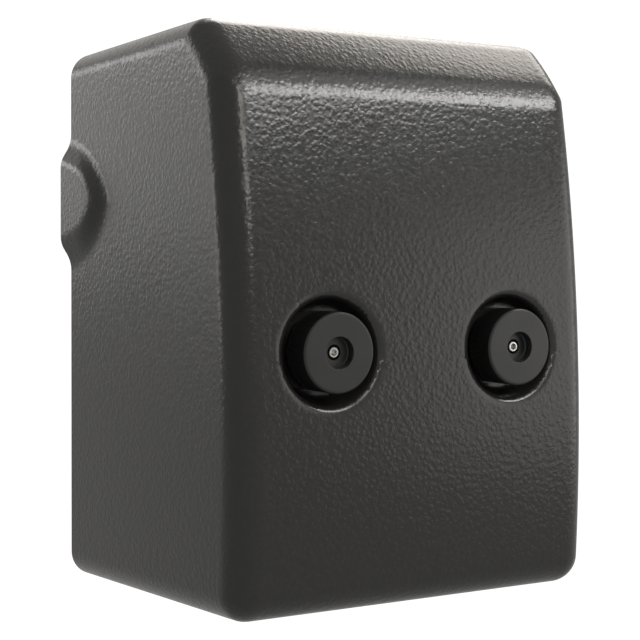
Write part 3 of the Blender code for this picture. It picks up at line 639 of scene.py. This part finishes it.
# ---- knobs and studs -------------------------------------
def knob(side_name, side, material):
    """A round nut with a fine straight knurl, a chamfer at each end and a counterbore."""
    teeth, tooth_depth = 148, 0.00032
    centre = (side * KNOB_X, KNOB_Z)
    radius = (KNOB_HIGH.x - KNOB_LOW.x) / 2
    shank, counterbore, bore = 0.006, 0.008, 0.0037
    clip_low, clip_high, clip_radius = -0.1743, -0.1729, 0.0049
    rear = -0.1705
    back = POCKET_FLOOR_Y - 0.0021
    face = KNOB_FACE_Y
    recess = STUD_END_Y - 0.0001
    soft, crisp, chamfer = 0.00025, 0.0001, 0.0010
    profile = [(shank, rear), (shank, clip_high), (clip_radius, clip_high), (clip_radius, clip_low),
               (shank, clip_low), (shank, back), (radius - chamfer, back),
               (radius - 0.0002, back - 0.0008), (radius, back - 0.0012), (radius, face + 0.0012),
               (radius - 0.0002, face + 0.0008), (radius - chamfer + soft, face + soft * 0.4),
               (radius - chamfer - soft, face), (radius - chamfer - soft * 2, face),
               (counterbore + crisp * 3, face), (counterbore + crisp * 2, face),
               (counterbore + crisp * 0.5, face + crisp * 0.5), (counterbore, face + crisp * 2),
               (counterbore, recess - soft * 2), (counterbore - soft * 2, recess),
               (bore + 0.0003, recess), (bore, recess + 0.0003), (bore, rear)]
    knurled = {row for row, point in enumerate(profile) if point[0] == radius}

    def ripple(row, step):
        return -tooth_depth if row in knurled and step % 4 > 1 else 0.0

    mesh = turned_mesh(profile, centre, steps=teeth * 4, ripple=ripple)
    add_piece("knob_%s_grip" % side_name, smooth(mesh, 20.0), material, "knob_" + side_name,
              "knob_" + side_name)


def stud(side_name, side, material):
    """A threaded rod with a chamfered end and a hexagon socket."""
    centre = (side * KNOB_X, KNOB_Z)
    radius, root, pitch = 0.0030, 0.0026, 0.001
    collar_radius, socket_flats = 0.006, 0.0032
    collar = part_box("stud_" + side_name)[1].y - RIM_Y
    seat = collar - 0.003
    plain = seat - 0.008
    end = STUD_END_Y
    profile = [(0.0, collar), (collar_radius - 0.0003, collar), (collar_radius, collar - 0.0003),
               (collar_radius, seat), (root, seat), (root, plain)]
    for turn in range(int((plain - end - 0.001) / pitch)):
        start = plain - turn * pitch
        profile += [(radius, start - 0.4 * pitch), (radius, start - 0.6 * pitch), (root, start - pitch)]
    profile += [(radius - 0.0003, end + 0.0003), (radius - 0.0006, end), (0.0, end)]
    rod = turned_mesh(profile, centre, steps=32)
    socket = cylinder_mesh(socket_flats / math.sqrt(3), end - 0.002, end + 0.005, centre, steps=6)
    mesh = carve(rod, [cut(socket)])
    add_piece("stud_%s_rod" % side_name, smooth(mesh), material, "stud_" + side_name)


# ---- signal side -----------------------------------------
def rounded_block(low, high, corner, edge=0.0, front=True):
    """A box whose edges along Y have the radius corner, and whose rim at one Y end has edge."""
    bm = box_between(low, high)
    along = [e for e in bm.edges if abs(e.verts[0].co.y - e.verts[1].co.y) > 1e-6]
    bmesh.ops.bevel(bm, geom=along, offset=corner, segments=12, affect="EDGES", profile=0.5)
    if edge:
        place = high[1] if front else low[1]
        rim = [e for e in bm.edges if all(abs(v.co.y - place) < 1e-6 for v in e.verts)]
        bmesh.ops.bevel(bm, geom=rim, offset=edge, segments=6, affect="EDGES", profile=0.5)
    return finished(bm, "rounded_block")


def bezel(material):
    """A shallow tray with two lens openings, screw posts and sunk screw holes."""
    low, high = rim_box("bezel")
    wall, plate = 0.006, 0.0035
    behind, beyond = low.y - THROUGH, high.y + THROUGH
    outer = rounded_block(low, high, 0.012, 0.007)
    tools = [cut(rounded_block((low.x + wall, behind, low.z + wall),
                               (high.x - wall, high.y - plate, high.z - wall), 0.008))]
    for x in (-SCREW_X, SCREW_X):
        for z in (low.z + SCREW_INSET, (low.z + high.z) / 2, high.z - SCREW_INSET):
            post = cylinder_mesh(0.0062, low.y + 0.0005, high.y - 0.001, (x, z), steps=32)
            hole = cylinder_mesh(0.0023, behind, beyond, (x, z), steps=24)
            sink = cylinder_mesh(0.0040, high.y - 0.0042, beyond, (x, z), steps=32)
            tools += [join(post), cut(hole), cut(sink)]
    for centre in ASPECTS.values():
        tools.append(cut(cylinder_mesh(APERTURE_RADIUS, behind, beyond, (0.0, centre), steps=128)))
        for side in SIDES.values():
            tools.append(cut(cylinder_mesh(VISOR_HOLE_RADIUS, behind, beyond,
                                           (side * VISOR_SCREW_X, centre), steps=20)))
    add_piece("bezel_face", smooth(carve(outer, tools), 25.0), material, "bezel")


def visor(name, centre, material):
    """A tunnel visor: a flange, a ribbed inside, a beaded mouth and an underside cut on a slant."""
    low, high = rim_box("visor_" + name)
    seat, mouth = low.y, high.y
    flange, flange_step, wall, relief = 0.064, 0.006, 0.002, 0.0004
    outer = (high.z - low.z) / 2 - flange_step
    inner = outer - wall
    profile = [(inner, mouth - 0.0008), (inner + 0.0006, mouth), (outer - 0.0006, mouth),
               (outer, mouth - 0.0006), (outer, mouth - 0.0030), (outer - relief, mouth - 0.0036),
               (outer - relief, seat + 0.0060), (outer + 0.0006, seat + 0.0035),
               (outer + 0.0022, seat + 0.0025), (flange - 0.0005, seat + 0.0025),
               (flange, seat + 0.0020), (flange, seat), (inner, seat)]
    ribs, rib_depth, margin = 19, 0.0005, 0.006
    pitch = (mouth - seat - 2 * margin) / ribs
    for rib in range(ribs):
        start = seat + margin + rib * pitch
        profile += [(inner, start), (inner + rib_depth, start + 0.0004),
                    (inner + rib_depth, start + pitch * 0.5), (inner, start + pitch * 0.5 + 0.0004)]
    tube = turned_mesh(profile, (0.0, centre), steps=144)
    slant = block_mesh((-0.08, 0.0, -0.15), (0.08, 0.2, 0.0))
    slant.transform(Matrix.Translation((0.0, seat + margin, centre - outer))
                    @ Matrix.Rotation(VISOR_SLANT, 4, "X"))
    tools = [cut(slant)]
    for side in SIDES.values():
        tools.append(cut(cylinder_mesh(VISOR_HOLE_RADIUS, seat - THROUGH, seat + 2 * THROUGH,
                                       (side * VISOR_SCREW_X, centre), steps=20)))
    add_piece("visor_%s_tunnel" % name, smooth(carve(tube, tools), 30.0), material,
              "visor_" + name)


def lens(name, centre, material):
    """A shallow clear dome with a flange behind the bezel and a skirt round the mask."""
    top = rim_box("lens_" + name)[1].y
    rise, edge, thickness, rows = 0.0100, 0.050, 0.0025, 20
    outer, inner = [], []
    for row in range(rows + 1):
        turn = row / rows * math.pi / 2
        drop = rise * (1 - math.cos(turn))
        outer.append((edge * math.sin(turn), top - drop))
        inner.append(((edge - thickness) * math.sin(turn), top - thickness - drop * 0.9))
    flange = top - 0.0109
    flange_radius, skirt_outer, skirt_inner = 0.056, 0.0505, 0.0475
    flange_back, skirt_end = flange - 0.002, flange - 0.0068
    profile = outer + [(edge, flange), (flange_radius, flange), (flange_radius, flange_back),
                       (skirt_outer, flange_back), (skirt_outer, skirt_end),
                       (skirt_inner, skirt_end)] + inner[::-1]
    add_piece("lens_%s_dome" % name, smooth(turned_mesh(profile, (0.0, centre), steps=128), 30.0),
              material, "lens_" + name)


# Bars of each figure in millimetres about the lens centre: (start, end, radius)
STANDING = [((0, 28), (0, 29), 6), ((0, 13.7), (0, 2), 7.6), ((-9.3, 15), (9.3, 15), 4.5),
            ((-13, 14.3), (-14, -6), 3), ((13, 14.3), (14, -6), 3),
            ((-4.4, 1.3), (-5, -33), 4), ((4.4, 1.3), (5, -33), 4)]
WALKING = [((3, 28), (3, 29), 6), ((1, 14), (-1, 0), 6.5), ((1, 16), (12, 5), 3),
           ((12, 5), (18, 0), 3), ((0, 16), (-11, 7), 3), ((-11, 7), (-13, -3), 3),
           ((0, 0), (9, -15), 4), ((9, -15), (12, -33), 3.5),
           ((-2, 0), (-7, -16), 4), ((-7, -16), (-18, -29), 3.5)]


def bar_mesh(start, end, radius, low, high):
    """A flat bar with round ends between two (x, z) points."""
    bm = bmesh.new()
    steps = 32
    for x, z in (start, end):
        for step in range(steps):
            angle = 2 * math.pi * (step + 0.3) / steps
            for y in (low, high):
                bm.verts.new((x + radius * math.cos(angle), y, z + radius * math.sin(angle)))
    hull = bmesh.ops.convex_hull(bm, input=bm.verts)
    spare = [item for item in hull["geom_interior"] if isinstance(item, bmesh.types.BMVert)]
    bmesh.ops.delete(bm, geom=spare, context="VERTS")
    bmesh.ops.recalc_face_normals(bm, faces=bm.faces)
    return finished(bm, "bar")


def symbol_mask(name, centre, figure, material):
    """A thin disc with a figure cut out of it."""
    low, high = rim_box("symbol_mask_" + name)
    disc = cylinder_mesh(0.0503, low.y, high.y, (0.0, centre), steps=128)
    tools = []
    for start, end, radius in figure:
        points = [(x / 1000, centre + z / 1000) for x, z in (start, end)]
        tools.append(cut(bar_mesh(*points, radius / 1000, low.y - 0.002, high.y + 0.002)))
    add_piece("symbol_mask_%s_plate" % name, carve(disc, tools), material,
              "symbol_mask_" + name)


# shank radius, depth of the head, and which way along Y the head faces
SCREWS = {"plate": (0.0020, 0.0025, -1), "bezel": (0.0020, 0.0035, 1), "visor": (0.0015, 0.0018, 1)}


def screw_head(name, material):
    """A pan-head screw with a hexagon socket, made over the plain one."""
    low, high = rim_box(name)
    centre = ((low.x + high.x) / 2, (low.z + high.z) / 2)
    radius = (high.x - low.x) / 2
    shank, depth, out = SCREWS[name.split("_")[0]]
    tip, crest = (low.y, high.y) if out > 0 else (high.y, low.y)
    seat = crest - out * depth
    profile = [(0.0, crest), (radius * 0.80, crest), (radius * 0.93, crest - out * 0.0003),
               (radius, crest - out * 0.0009), (radius, seat), (shank, seat), (shank, tip), (0.0, tip)]
    socket = cylinder_mesh(radius * 0.6, *sorted((crest - out * 0.0013, crest + out * 0.002)), centre,
                           steps=6)
    mesh = carve(turned_mesh(profile, centre, steps=40), [cut(socket)])
    add_piece(name + "_fine", smooth(mesh, 30.0), material, name)


# ---- bosses ----------------------------------------------
def boss(end_name, material, nut_material):
    """A hollow boss whose outer face has a ring of radial serrations in a shallow groove."""
    low, high = rim_box(end_name + "_boss")
    centre, radius = upright(low, high)
    out = 1 if end_name == "top" else -1
    face, tip = (high.z, low.z) if out > 0 else (low.z, high.z)
    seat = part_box("base_frame")[0 if out < 0 else 1].z - FOOT_Z + out * 0.0003
    bore, spigot = 0.0092, 0.0118
    groove_inner, groove_outer, break_edge = 0.0135, 0.0185, 0.0002
    floor = face - out * 0.0015
    soft = 0.0006
    profile = [(spigot, tip), (spigot, seat), (radius, seat), (radius, face - out * soft),
               (radius - soft * 0.3, face - out * soft * 0.3), (radius - soft, face),
               (groove_outer + break_edge, face), (groove_outer, face - out * break_edge),
               (groove_outer, floor), (groove_inner, floor), (groove_inner, face - out * break_edge),
               (groove_inner - break_edge, face), (bore + soft, face), (bore, face - out * soft),
               (bore, tip)]
    body = turned_mesh(profile, centre, "Z", steps=128)
    add_piece(end_name + "_boss_body", smooth(body, 25.0), material, end_name + "_boss")
    teeth = serrations(groove_inner + 0.0001, groove_outer - 0.0001, face, floor, out)
    teeth.transform(axis_matrix(centre, "Z"))
    add_piece(end_name + "_boss_serrations", teeth, material, None)
    nut_low, nut_high = rim_box(end_name + "_boss_nut")
    nut = cylinder_mesh(upright(nut_low, nut_high)[1], nut_low.z, nut_high.z, centre, "Z", 6)
    bore_cut = cylinder_mesh(spigot + 0.0003, nut_low.z - THROUGH, nut_high.z + THROUGH, centre, "Z", 64)
    mesh = carve(nut, [cut(bore_cut)])
    add_piece(end_name + "_boss_locknut", smooth(mesh, 30.0), nut_material,
              end_name + "_boss_nut")


def serrations(inner, outer, face, floor, out):
    """A ring of sixty radial teeth that stands on the floor of a groove."""
    steps = 120
    foot = floor - out * 0.0001
    bm = bmesh.new()
    ring = []
    for step in range(steps):
        angle = 2 * math.pi * step / steps
        height = face - out * (0.0001 if step % 2 else 0.0012)
        ring.append([bm.verts.new((r * math.cos(angle), r * math.sin(angle), z))
                     for r, z in ((inner, foot), (inner, height), (outer, height), (outer, foot))])
    for step in range(steps):
        here, there = ring[step], ring[(step + 1) % steps]
        for row in range(4):
            bm.faces.new((here[row], here[(row + 1) % 4], there[(row + 1) % 4], there[row]))
    bmesh.ops.recalc_face_normals(bm, faces=bm.faces)
    return finished(bm, "serrations")


def top_plug(material):
    """A ribbed rubber plug with a dished head."""
    low, high = rim_box("top_plug")
    centre, radius = upright(low, high)
    profile = [(0.0, high.z - 0.0009), (radius * 0.55, high.z - 0.0009), (radius * 0.66, high.z),
               (radius * 0.93, high.z), (radius, high.z - 0.0006)]
    groove = radius - 0.0005
    for rib in range(5):
        start = high.z - 0.0020 - rib * 0.0024
        profile += [(radius, start), (groove, start - 0.0005), (groove, start - 0.0014),
                    (radius, start - 0.0019)]
    profile += [(radius - 0.001, low.z), (0.0, low.z)]
    mesh = smooth(turned_mesh(profile, centre, "Z", 64), 30.0)
    add_piece("top_plug_ribbed", mesh, material, "top_plug")


def cable_gland(material):
    """A cable gland: a domed cap and a hexagon over a threaded barrel."""
    low, high = rim_box("cable_gland")
    centre, radius = upright(low, high)
    barrel, bore, dome, pitch = 0.0089, 0.0040, 0.0103, 0.0015
    hexagon_low = 0.0184
    hexagon_high = hexagon_low + 0.0041
    profile = [(bore, high.z), (0.0070, high.z), (0.0092, high.z - 0.0010), (dome, high.z - 0.0030),
               (dome, hexagon_high), (barrel, hexagon_high)]
    for turn in range(int((hexagon_low - low.z) / pitch) - 1):
        start = hexagon_low - turn * pitch
        profile += [(barrel, start - 0.25 * pitch), (barrel - 0.0006, start - 0.6 * pitch),
                    (barrel, start - 0.95 * pitch)]
    profile += [(barrel - 0.0005, low.z), (bore, low.z)]
    body = turned_mesh(profile, centre, "Z", 64)
    nut = cylinder_mesh(radius, hexagon_low, hexagon_high, centre, "Z", 6)
    hole = cylinder_mesh(barrel - 0.001, hexagon_low - THROUGH, hexagon_low + 2 * THROUGH, centre, "Z", 64)
    ring = carve(nut, [cut(hole)])
    add_piece("cable_gland_body", smooth(carve(body, [join(ring)]), 30.0), material,
              "cable_gland")


# ---- inside ----------------------------------------------
def slotted_head(name, place, crest, radius, height, bevel, slot, steps, material):
    """A small screw's head facing -Y at (x, z). slot is its half length, half width and depth."""
    x, z = place
    long, wide, deep = slot
    root = crest + height
    profile = [(0.0, crest), (radius - bevel, crest), (radius, crest + bevel), (radius, root), (0.0, root)]
    cutter = block_mesh((x - long, crest - 0.001, z - wide), (x + long, crest + deep, z + wide))
    add_piece(name, carve(turned_mesh(profile, place, steps=steps), [cut(cutter)]), material,
              None)


def power_supply(material, steel):
    """A vented case on a mounting tongue, closed by four small screws."""
    low, high = rim_box("power_supply")
    top, bottom = high.z - 0.008, low.z + 0.008
    case = rounded_block((low.x, low.y, bottom), (high.x, high.y, top), 0.003, 0.0015, front=False)
    tools = [join(rounded_block((-0.020, high.y - 0.003, low.z), (0.020, high.y - 0.0002, high.z), 0.004))]
    vents, vent_pitch, half_width = 9, 0.008, 0.002
    for index in range(vents):
        middle = -0.032 + vent_pitch * index
        tools.append(cut(rounded_block((middle - half_width, low.y - THROUGH, bottom + 0.006),
                                       (middle + half_width, low.y + 0.008, top - 0.006), 0.00195)))
    for z in (low.z + 0.004, high.z - 0.004):
        for x in (-0.012, 0.012):
            tools.append(cut(cylinder_mesh(0.0018, high.y - THROUGH, high.y + THROUGH, (x, z), steps=24)))
    add_piece("power_supply_case", smooth(carve(case, tools), 30.0), material, "power_supply")
    places = [(x, z) for z in (bottom + 0.0032, top - 0.0032) for x in (-0.0375, 0.0375)]
    for index, place in enumerate(places):
        slotted_head("power_supply_case_screw_%d" % (index + 1), place, low.y - 0.0001, 0.0017, 0.0011,
                     0.0003, (0.0012, 0.0002, 0.0005), 24, steel)


def terminal_block(material, steel):
    """A row of six terminals, each with a wire hole on top and a screw at the bottom of a shaft."""
    low, high = rim_box("terminal_block")
    body = rounded_block(low, high, 0.001, 0.0006, front=False)
    poles, pitch, hole_y, screw_z = 6, 0.012, -0.088, 0.045
    middles = [(pole - (poles - 1) / 2) * pitch for pole in range(poles)]
    tools = []
    for pole, x in enumerate(middles):
        tools.append(cut(cylinder_mesh(0.0028, high.z - 0.006, high.z + THROUGH, (x, hole_y), "Z", 32)))
        tools.append(cut(cylinder_mesh(0.0030, low.y - THROUGH, low.y + 0.004, (x, screw_z), steps=32)))
        if pole:
            edge = x - pitch / 2
            tools.append(cut(block_mesh((edge - 0.0005, low.y - THROUGH, low.z - THROUGH),
                                        (edge + 0.0005, low.y + 0.003, high.z + THROUGH))))
    add_piece("terminal_block_body", smooth(carve(body, tools), 30.0), material,
              "terminal_block")
    for pole, x in enumerate(middles):
        slotted_head("terminal_screw_%d" % (pole + 1), (x, screw_z), low.y + 0.0018, 0.0026, 0.0020,
                     0.0004, (0.0018, 0.0003, 0.0008), 32, steel)


def wire(node, points, radius, material):
    """A round sheath along a smooth curve through the points."""
    data = bpy.data.curves.new(node, "CURVE")
    data.dimensions = "3D"
    data.bevel_depth = radius
    data.bevel_resolution = 6
    data.resolution_u = 16
    data.use_fill_caps = True
    spline = data.splines.new("BEZIER")
    spline.bezier_points.add(len(points) - 1)
    for knot, place in zip(spline.bezier_points, points):
        knot.co = place
        knot.handle_left_type = knot.handle_right_type = "AUTO"
    obj = linked("wire", data)
    mesh = baked(obj)
    bpy.data.objects.remove(obj)
    add_piece(node + "_sheath", smooth(mesh, 50.0), material, node)


def wires(red, green, sheath):
    upper, lower = ASPECTS["upper"], ASPECTS["lower"]
    start, grommet, turn = -0.0424, -0.060, -0.081
    wire("wire_upper", [(0.0, start, upper), (0.0, grommet, upper), (0.0, turn, upper),
                        (0.0, -0.0925, upper - 0.004), (0.0, -0.095, upper - 0.012),
                        (0.0, -0.095, 0.1944)], 0.002, red)
    wire("wire_lower", [(0.0, start, lower), (0.0, grommet, lower), (0.0, turn, lower),
                        (-0.006, -0.0925, lower + 0.003), (-0.012, -0.095, lower + 0.010),
                        (-0.012, -0.095, 0.1076)], 0.002, green)
    wire("supply_wire", [(0.018, -0.093, 0.1076), (0.018, -0.093, 0.096), (0.018, -0.091, 0.080),
                         (0.018, -0.088, 0.066), (0.018, -0.088, 0.0563)], 0.0025, sheath)


# ---- studio ----------------------------------------------
def direction(bearing, elevation):
    """A unit vector: bearing in degrees from -Y towards +X, elevation in degrees above level."""
    turn, rise = math.radians(bearing), math.radians(elevation)
    return Vector((math.sin(turn) * math.cos(rise), -math.cos(turn) * math.cos(rise), math.sin(rise)))


def panel(name, bearing, elevation, distance, width, height, radiance, colour):
    """A soft light panel that faces the object. radiance is its brightness next to white paper."""
    data = bpy.data.lights.new(name, "AREA")
    data.energy = radiance * math.pi * width * height
    data.color = colour
    data.shape = "RECTANGLE"
    data.size = width
    data.size_y = height
    obj = bpy.data.objects.new(name, data)
    target = Vector((0.0, -0.12, 0.19))
    away = direction(bearing, elevation)
    obj.location = target + away * distance
    obj.rotation_euler = (-away).to_track_quat("-Z", "Y").to_euler()
    bpy.context.scene.collection.objects.link(obj)


def studio():
    scene = bpy.context.scene
    scene.view_settings.view_transform = "Standard"
    world = bpy.data.worlds.new("studio")
    scene.world = world
    world.use_nodes = True
    nodes, links = world.node_tree.nodes, world.node_tree.links
    background = nodes["Background"]
    background.inputs["Color"].default_value = (1.0, 0.99, 0.97, 1.0)
    rays = nodes.new("ShaderNodeLightPath")
    strength = nodes.new("ShaderNodeMapRange")
    strength.inputs["To Min"].default_value = AMBIENT
    strength.inputs["To Max"].default_value = 1.1
    links.new(rays.outputs["Is Camera Ray"], strength.inputs["Value"])
    links.new(strength.outputs["Result"], background.inputs["Strength"])
    for settings in PANELS:
        panel(*settings)
    floor_z = CAD_BOX[0][2] - 0.45
    bpy.ops.mesh.primitive_circle_add(vertices=96, radius=FLOOR_RADIUS, fill_type="NGON",
                                      location=(0.0, 0.0, floor_z))
    floor = bpy.context.object
    floor.name = "studio_floor"
    floor.visible_glossy = False
    floor.visible_diffuse = False
    s = Surface("pale_floor", (0.6, 0.6, 0.6), 0.9)
    s.shader.inputs["Emission Color"].default_value = (1.0, 1.0, 1.0, 1.0)
    reach = s.vector("LENGTH", s.place())
    fade = s.spread(reach.outputs["Value"], 200.0, 1000.0 * FLOOR_RADIUS, 0.0, 0.7)
    s.links.new(fade, s.shader.inputs["Emission Strength"])
    s.tint(s.noise(400.0), 0.99, 1.01)
    floor.data.materials.append(s.material)


def diffuser_plastic(name, colour):
    s = Surface(name, colour, 0.35, Transmission_Weight=0.25)
    # Painted glow: the diffuser gives off a faint light in its own colour, though no lamp behind it is
    # lit.
    s.shader.inputs["Emission Color"].default_value = (*colour, 1.0)
    s.shader.inputs["Emission Strength"].default_value = 0.12
    dots = s.texture("Voronoi", Scale=1.0 / 2.2, Randomness=0.0)
    s.bump(s.spread(dots.outputs["Distance"], 0.0, 0.7, 1.0, 0.0), 0.25)
    s.tint(s.noise(9.0), 0.85, 1.1)
    return s.material


def lens_plastic():
    """Clear polycarbonate with a fine moulded pattern of lenticules."""
    s = Surface("clear_lens", (0.93, 0.95, 0.96), 0.06, Transmission_Weight=1.0, IOR=1.5)
    pattern = s.texture("Voronoi", Scale=1.0 / 3.0, Randomness=0.0)
    s.bump(s.spread(pattern.outputs["Distance"], 0.0, 0.75, 1.0, 0.0), 0.04)
    s.rough(s.noise(4.0), 0.04, 0.1)
    return s.material


def brushed_sheet(name, colour):
    """Rolled aluminium sheet, its grain running up and down."""
    s = Surface(name, colour, 0.38, 1.0)
    stretch = s.vector("MULTIPLY", s.place())
    stretch.inputs[1].default_value = (1.0, 1.0, 0.03)
    grain = s.noise(0.35, 4.0, 0.6, stretch.outputs["Vector"])
    s.bump(grain, 0.01)
    s.rough(grain, 0.28, 0.5)
    s.tint(grain, 0.8, 1.08)
    return s.material


def circuit_board():
    s = Surface("circuit_board", (0.02, 0.12, 0.05), 0.35)
    tracks = s.texture("Brick", Scale=0.12, Mortar_Size=0.06)
    s.tint(tracks.outputs["Fac"], 0.75, 1.8)
    s.bump(tracks.outputs["Fac"], 0.04)
    return s.material


# ---- the looks of each material slot, and the pieces -----
PLASTICS = {                   # colour, roughness, size of the grain in millimetres
    "black_plastic": ((0.0095, 0.0095, 0.0095), 0.36, 0.5),
    "grey_plastic": ((0.07, 0.07, 0.075), 0.5, 0.5),
    "white_plastic": ((0.62, 0.61, 0.57), 0.45, 0.5),
    "red_wire": ((0.42, 0.03, 0.02), 0.4, 1.5),
    "green_wire": ((0.03, 0.22, 0.07), 0.4, 1.5),
    "grey_wire": ((0.16, 0.16, 0.16), 0.4, 1.5),
}
looks = {slot: moulded_plastic(slot, *values) for slot, values in PLASTICS.items()}
looks["black_rubber"] = rubber("black_rubber")
looks["stainless_steel"] = metal("stainless_steel", (0.62, 0.61, 0.59), 0.25)
looks["cast_aluminium"] = metal("cast_aluminium", (0.55, 0.56, 0.57), 0.42, 0.6, 0.02)
looks["circuit_board"] = circuit_board()
looks["red_diffuser"] = diffuser_plastic("red_diffuser", (0.62, 0.03, 0.02))
looks["green_diffuser"] = diffuser_plastic("green_diffuser", (0.02, 0.42, 0.2))
looks["clear_lens"] = lens_plastic()
visor_black = moulded_plastic("visor_black", (0.014, 0.014, 0.014), 0.6, 0.4, 0.03)
plate_sheet = brushed_sheet("plate_sheet", (0.62, 0.63, 0.64))

camera()
studio()
slots = {part["node"]: part["material_slot"] for part in frame["record"]["subparts"]}
for name, obj in frame["nodes"].items():
    if slots[name] in looks:
        obj.data.materials.clear()
        obj.data.materials.append(plate_sheet if name == "mounting_plate" else looks[slots[name]])
black, steel = looks["black_plastic"], looks["stainless_steel"]
rear_cover()
for side_name, side in SIDES.items():
    knob(side_name, side, black)
    stud(side_name, side, steel)
bezel(black)
for name, figure in (("upper", STANDING), ("lower", WALKING)):
    centre = ASPECTS[name]
    visor(name, centre, visor_black)
    lens(name, centre, looks["clear_lens"])
    symbol_mask(name, centre, figure, black)
for node in sorted(frame["nodes"]):
    if node.startswith(("bezel_screw", "visor_screw", "plate_screw")):
        screw_head(node, steel)
for end_name in ("top", "bottom"):
    boss(end_name, looks["cast_aluminium"], steel)
top_plug(looks["black_rubber"])
cable_gland(black)
power_supply(black, steel)
terminal_block(looks["white_plastic"], steel)
wires(looks["red_wire"], looks["green_wire"], looks["grey_wire"])
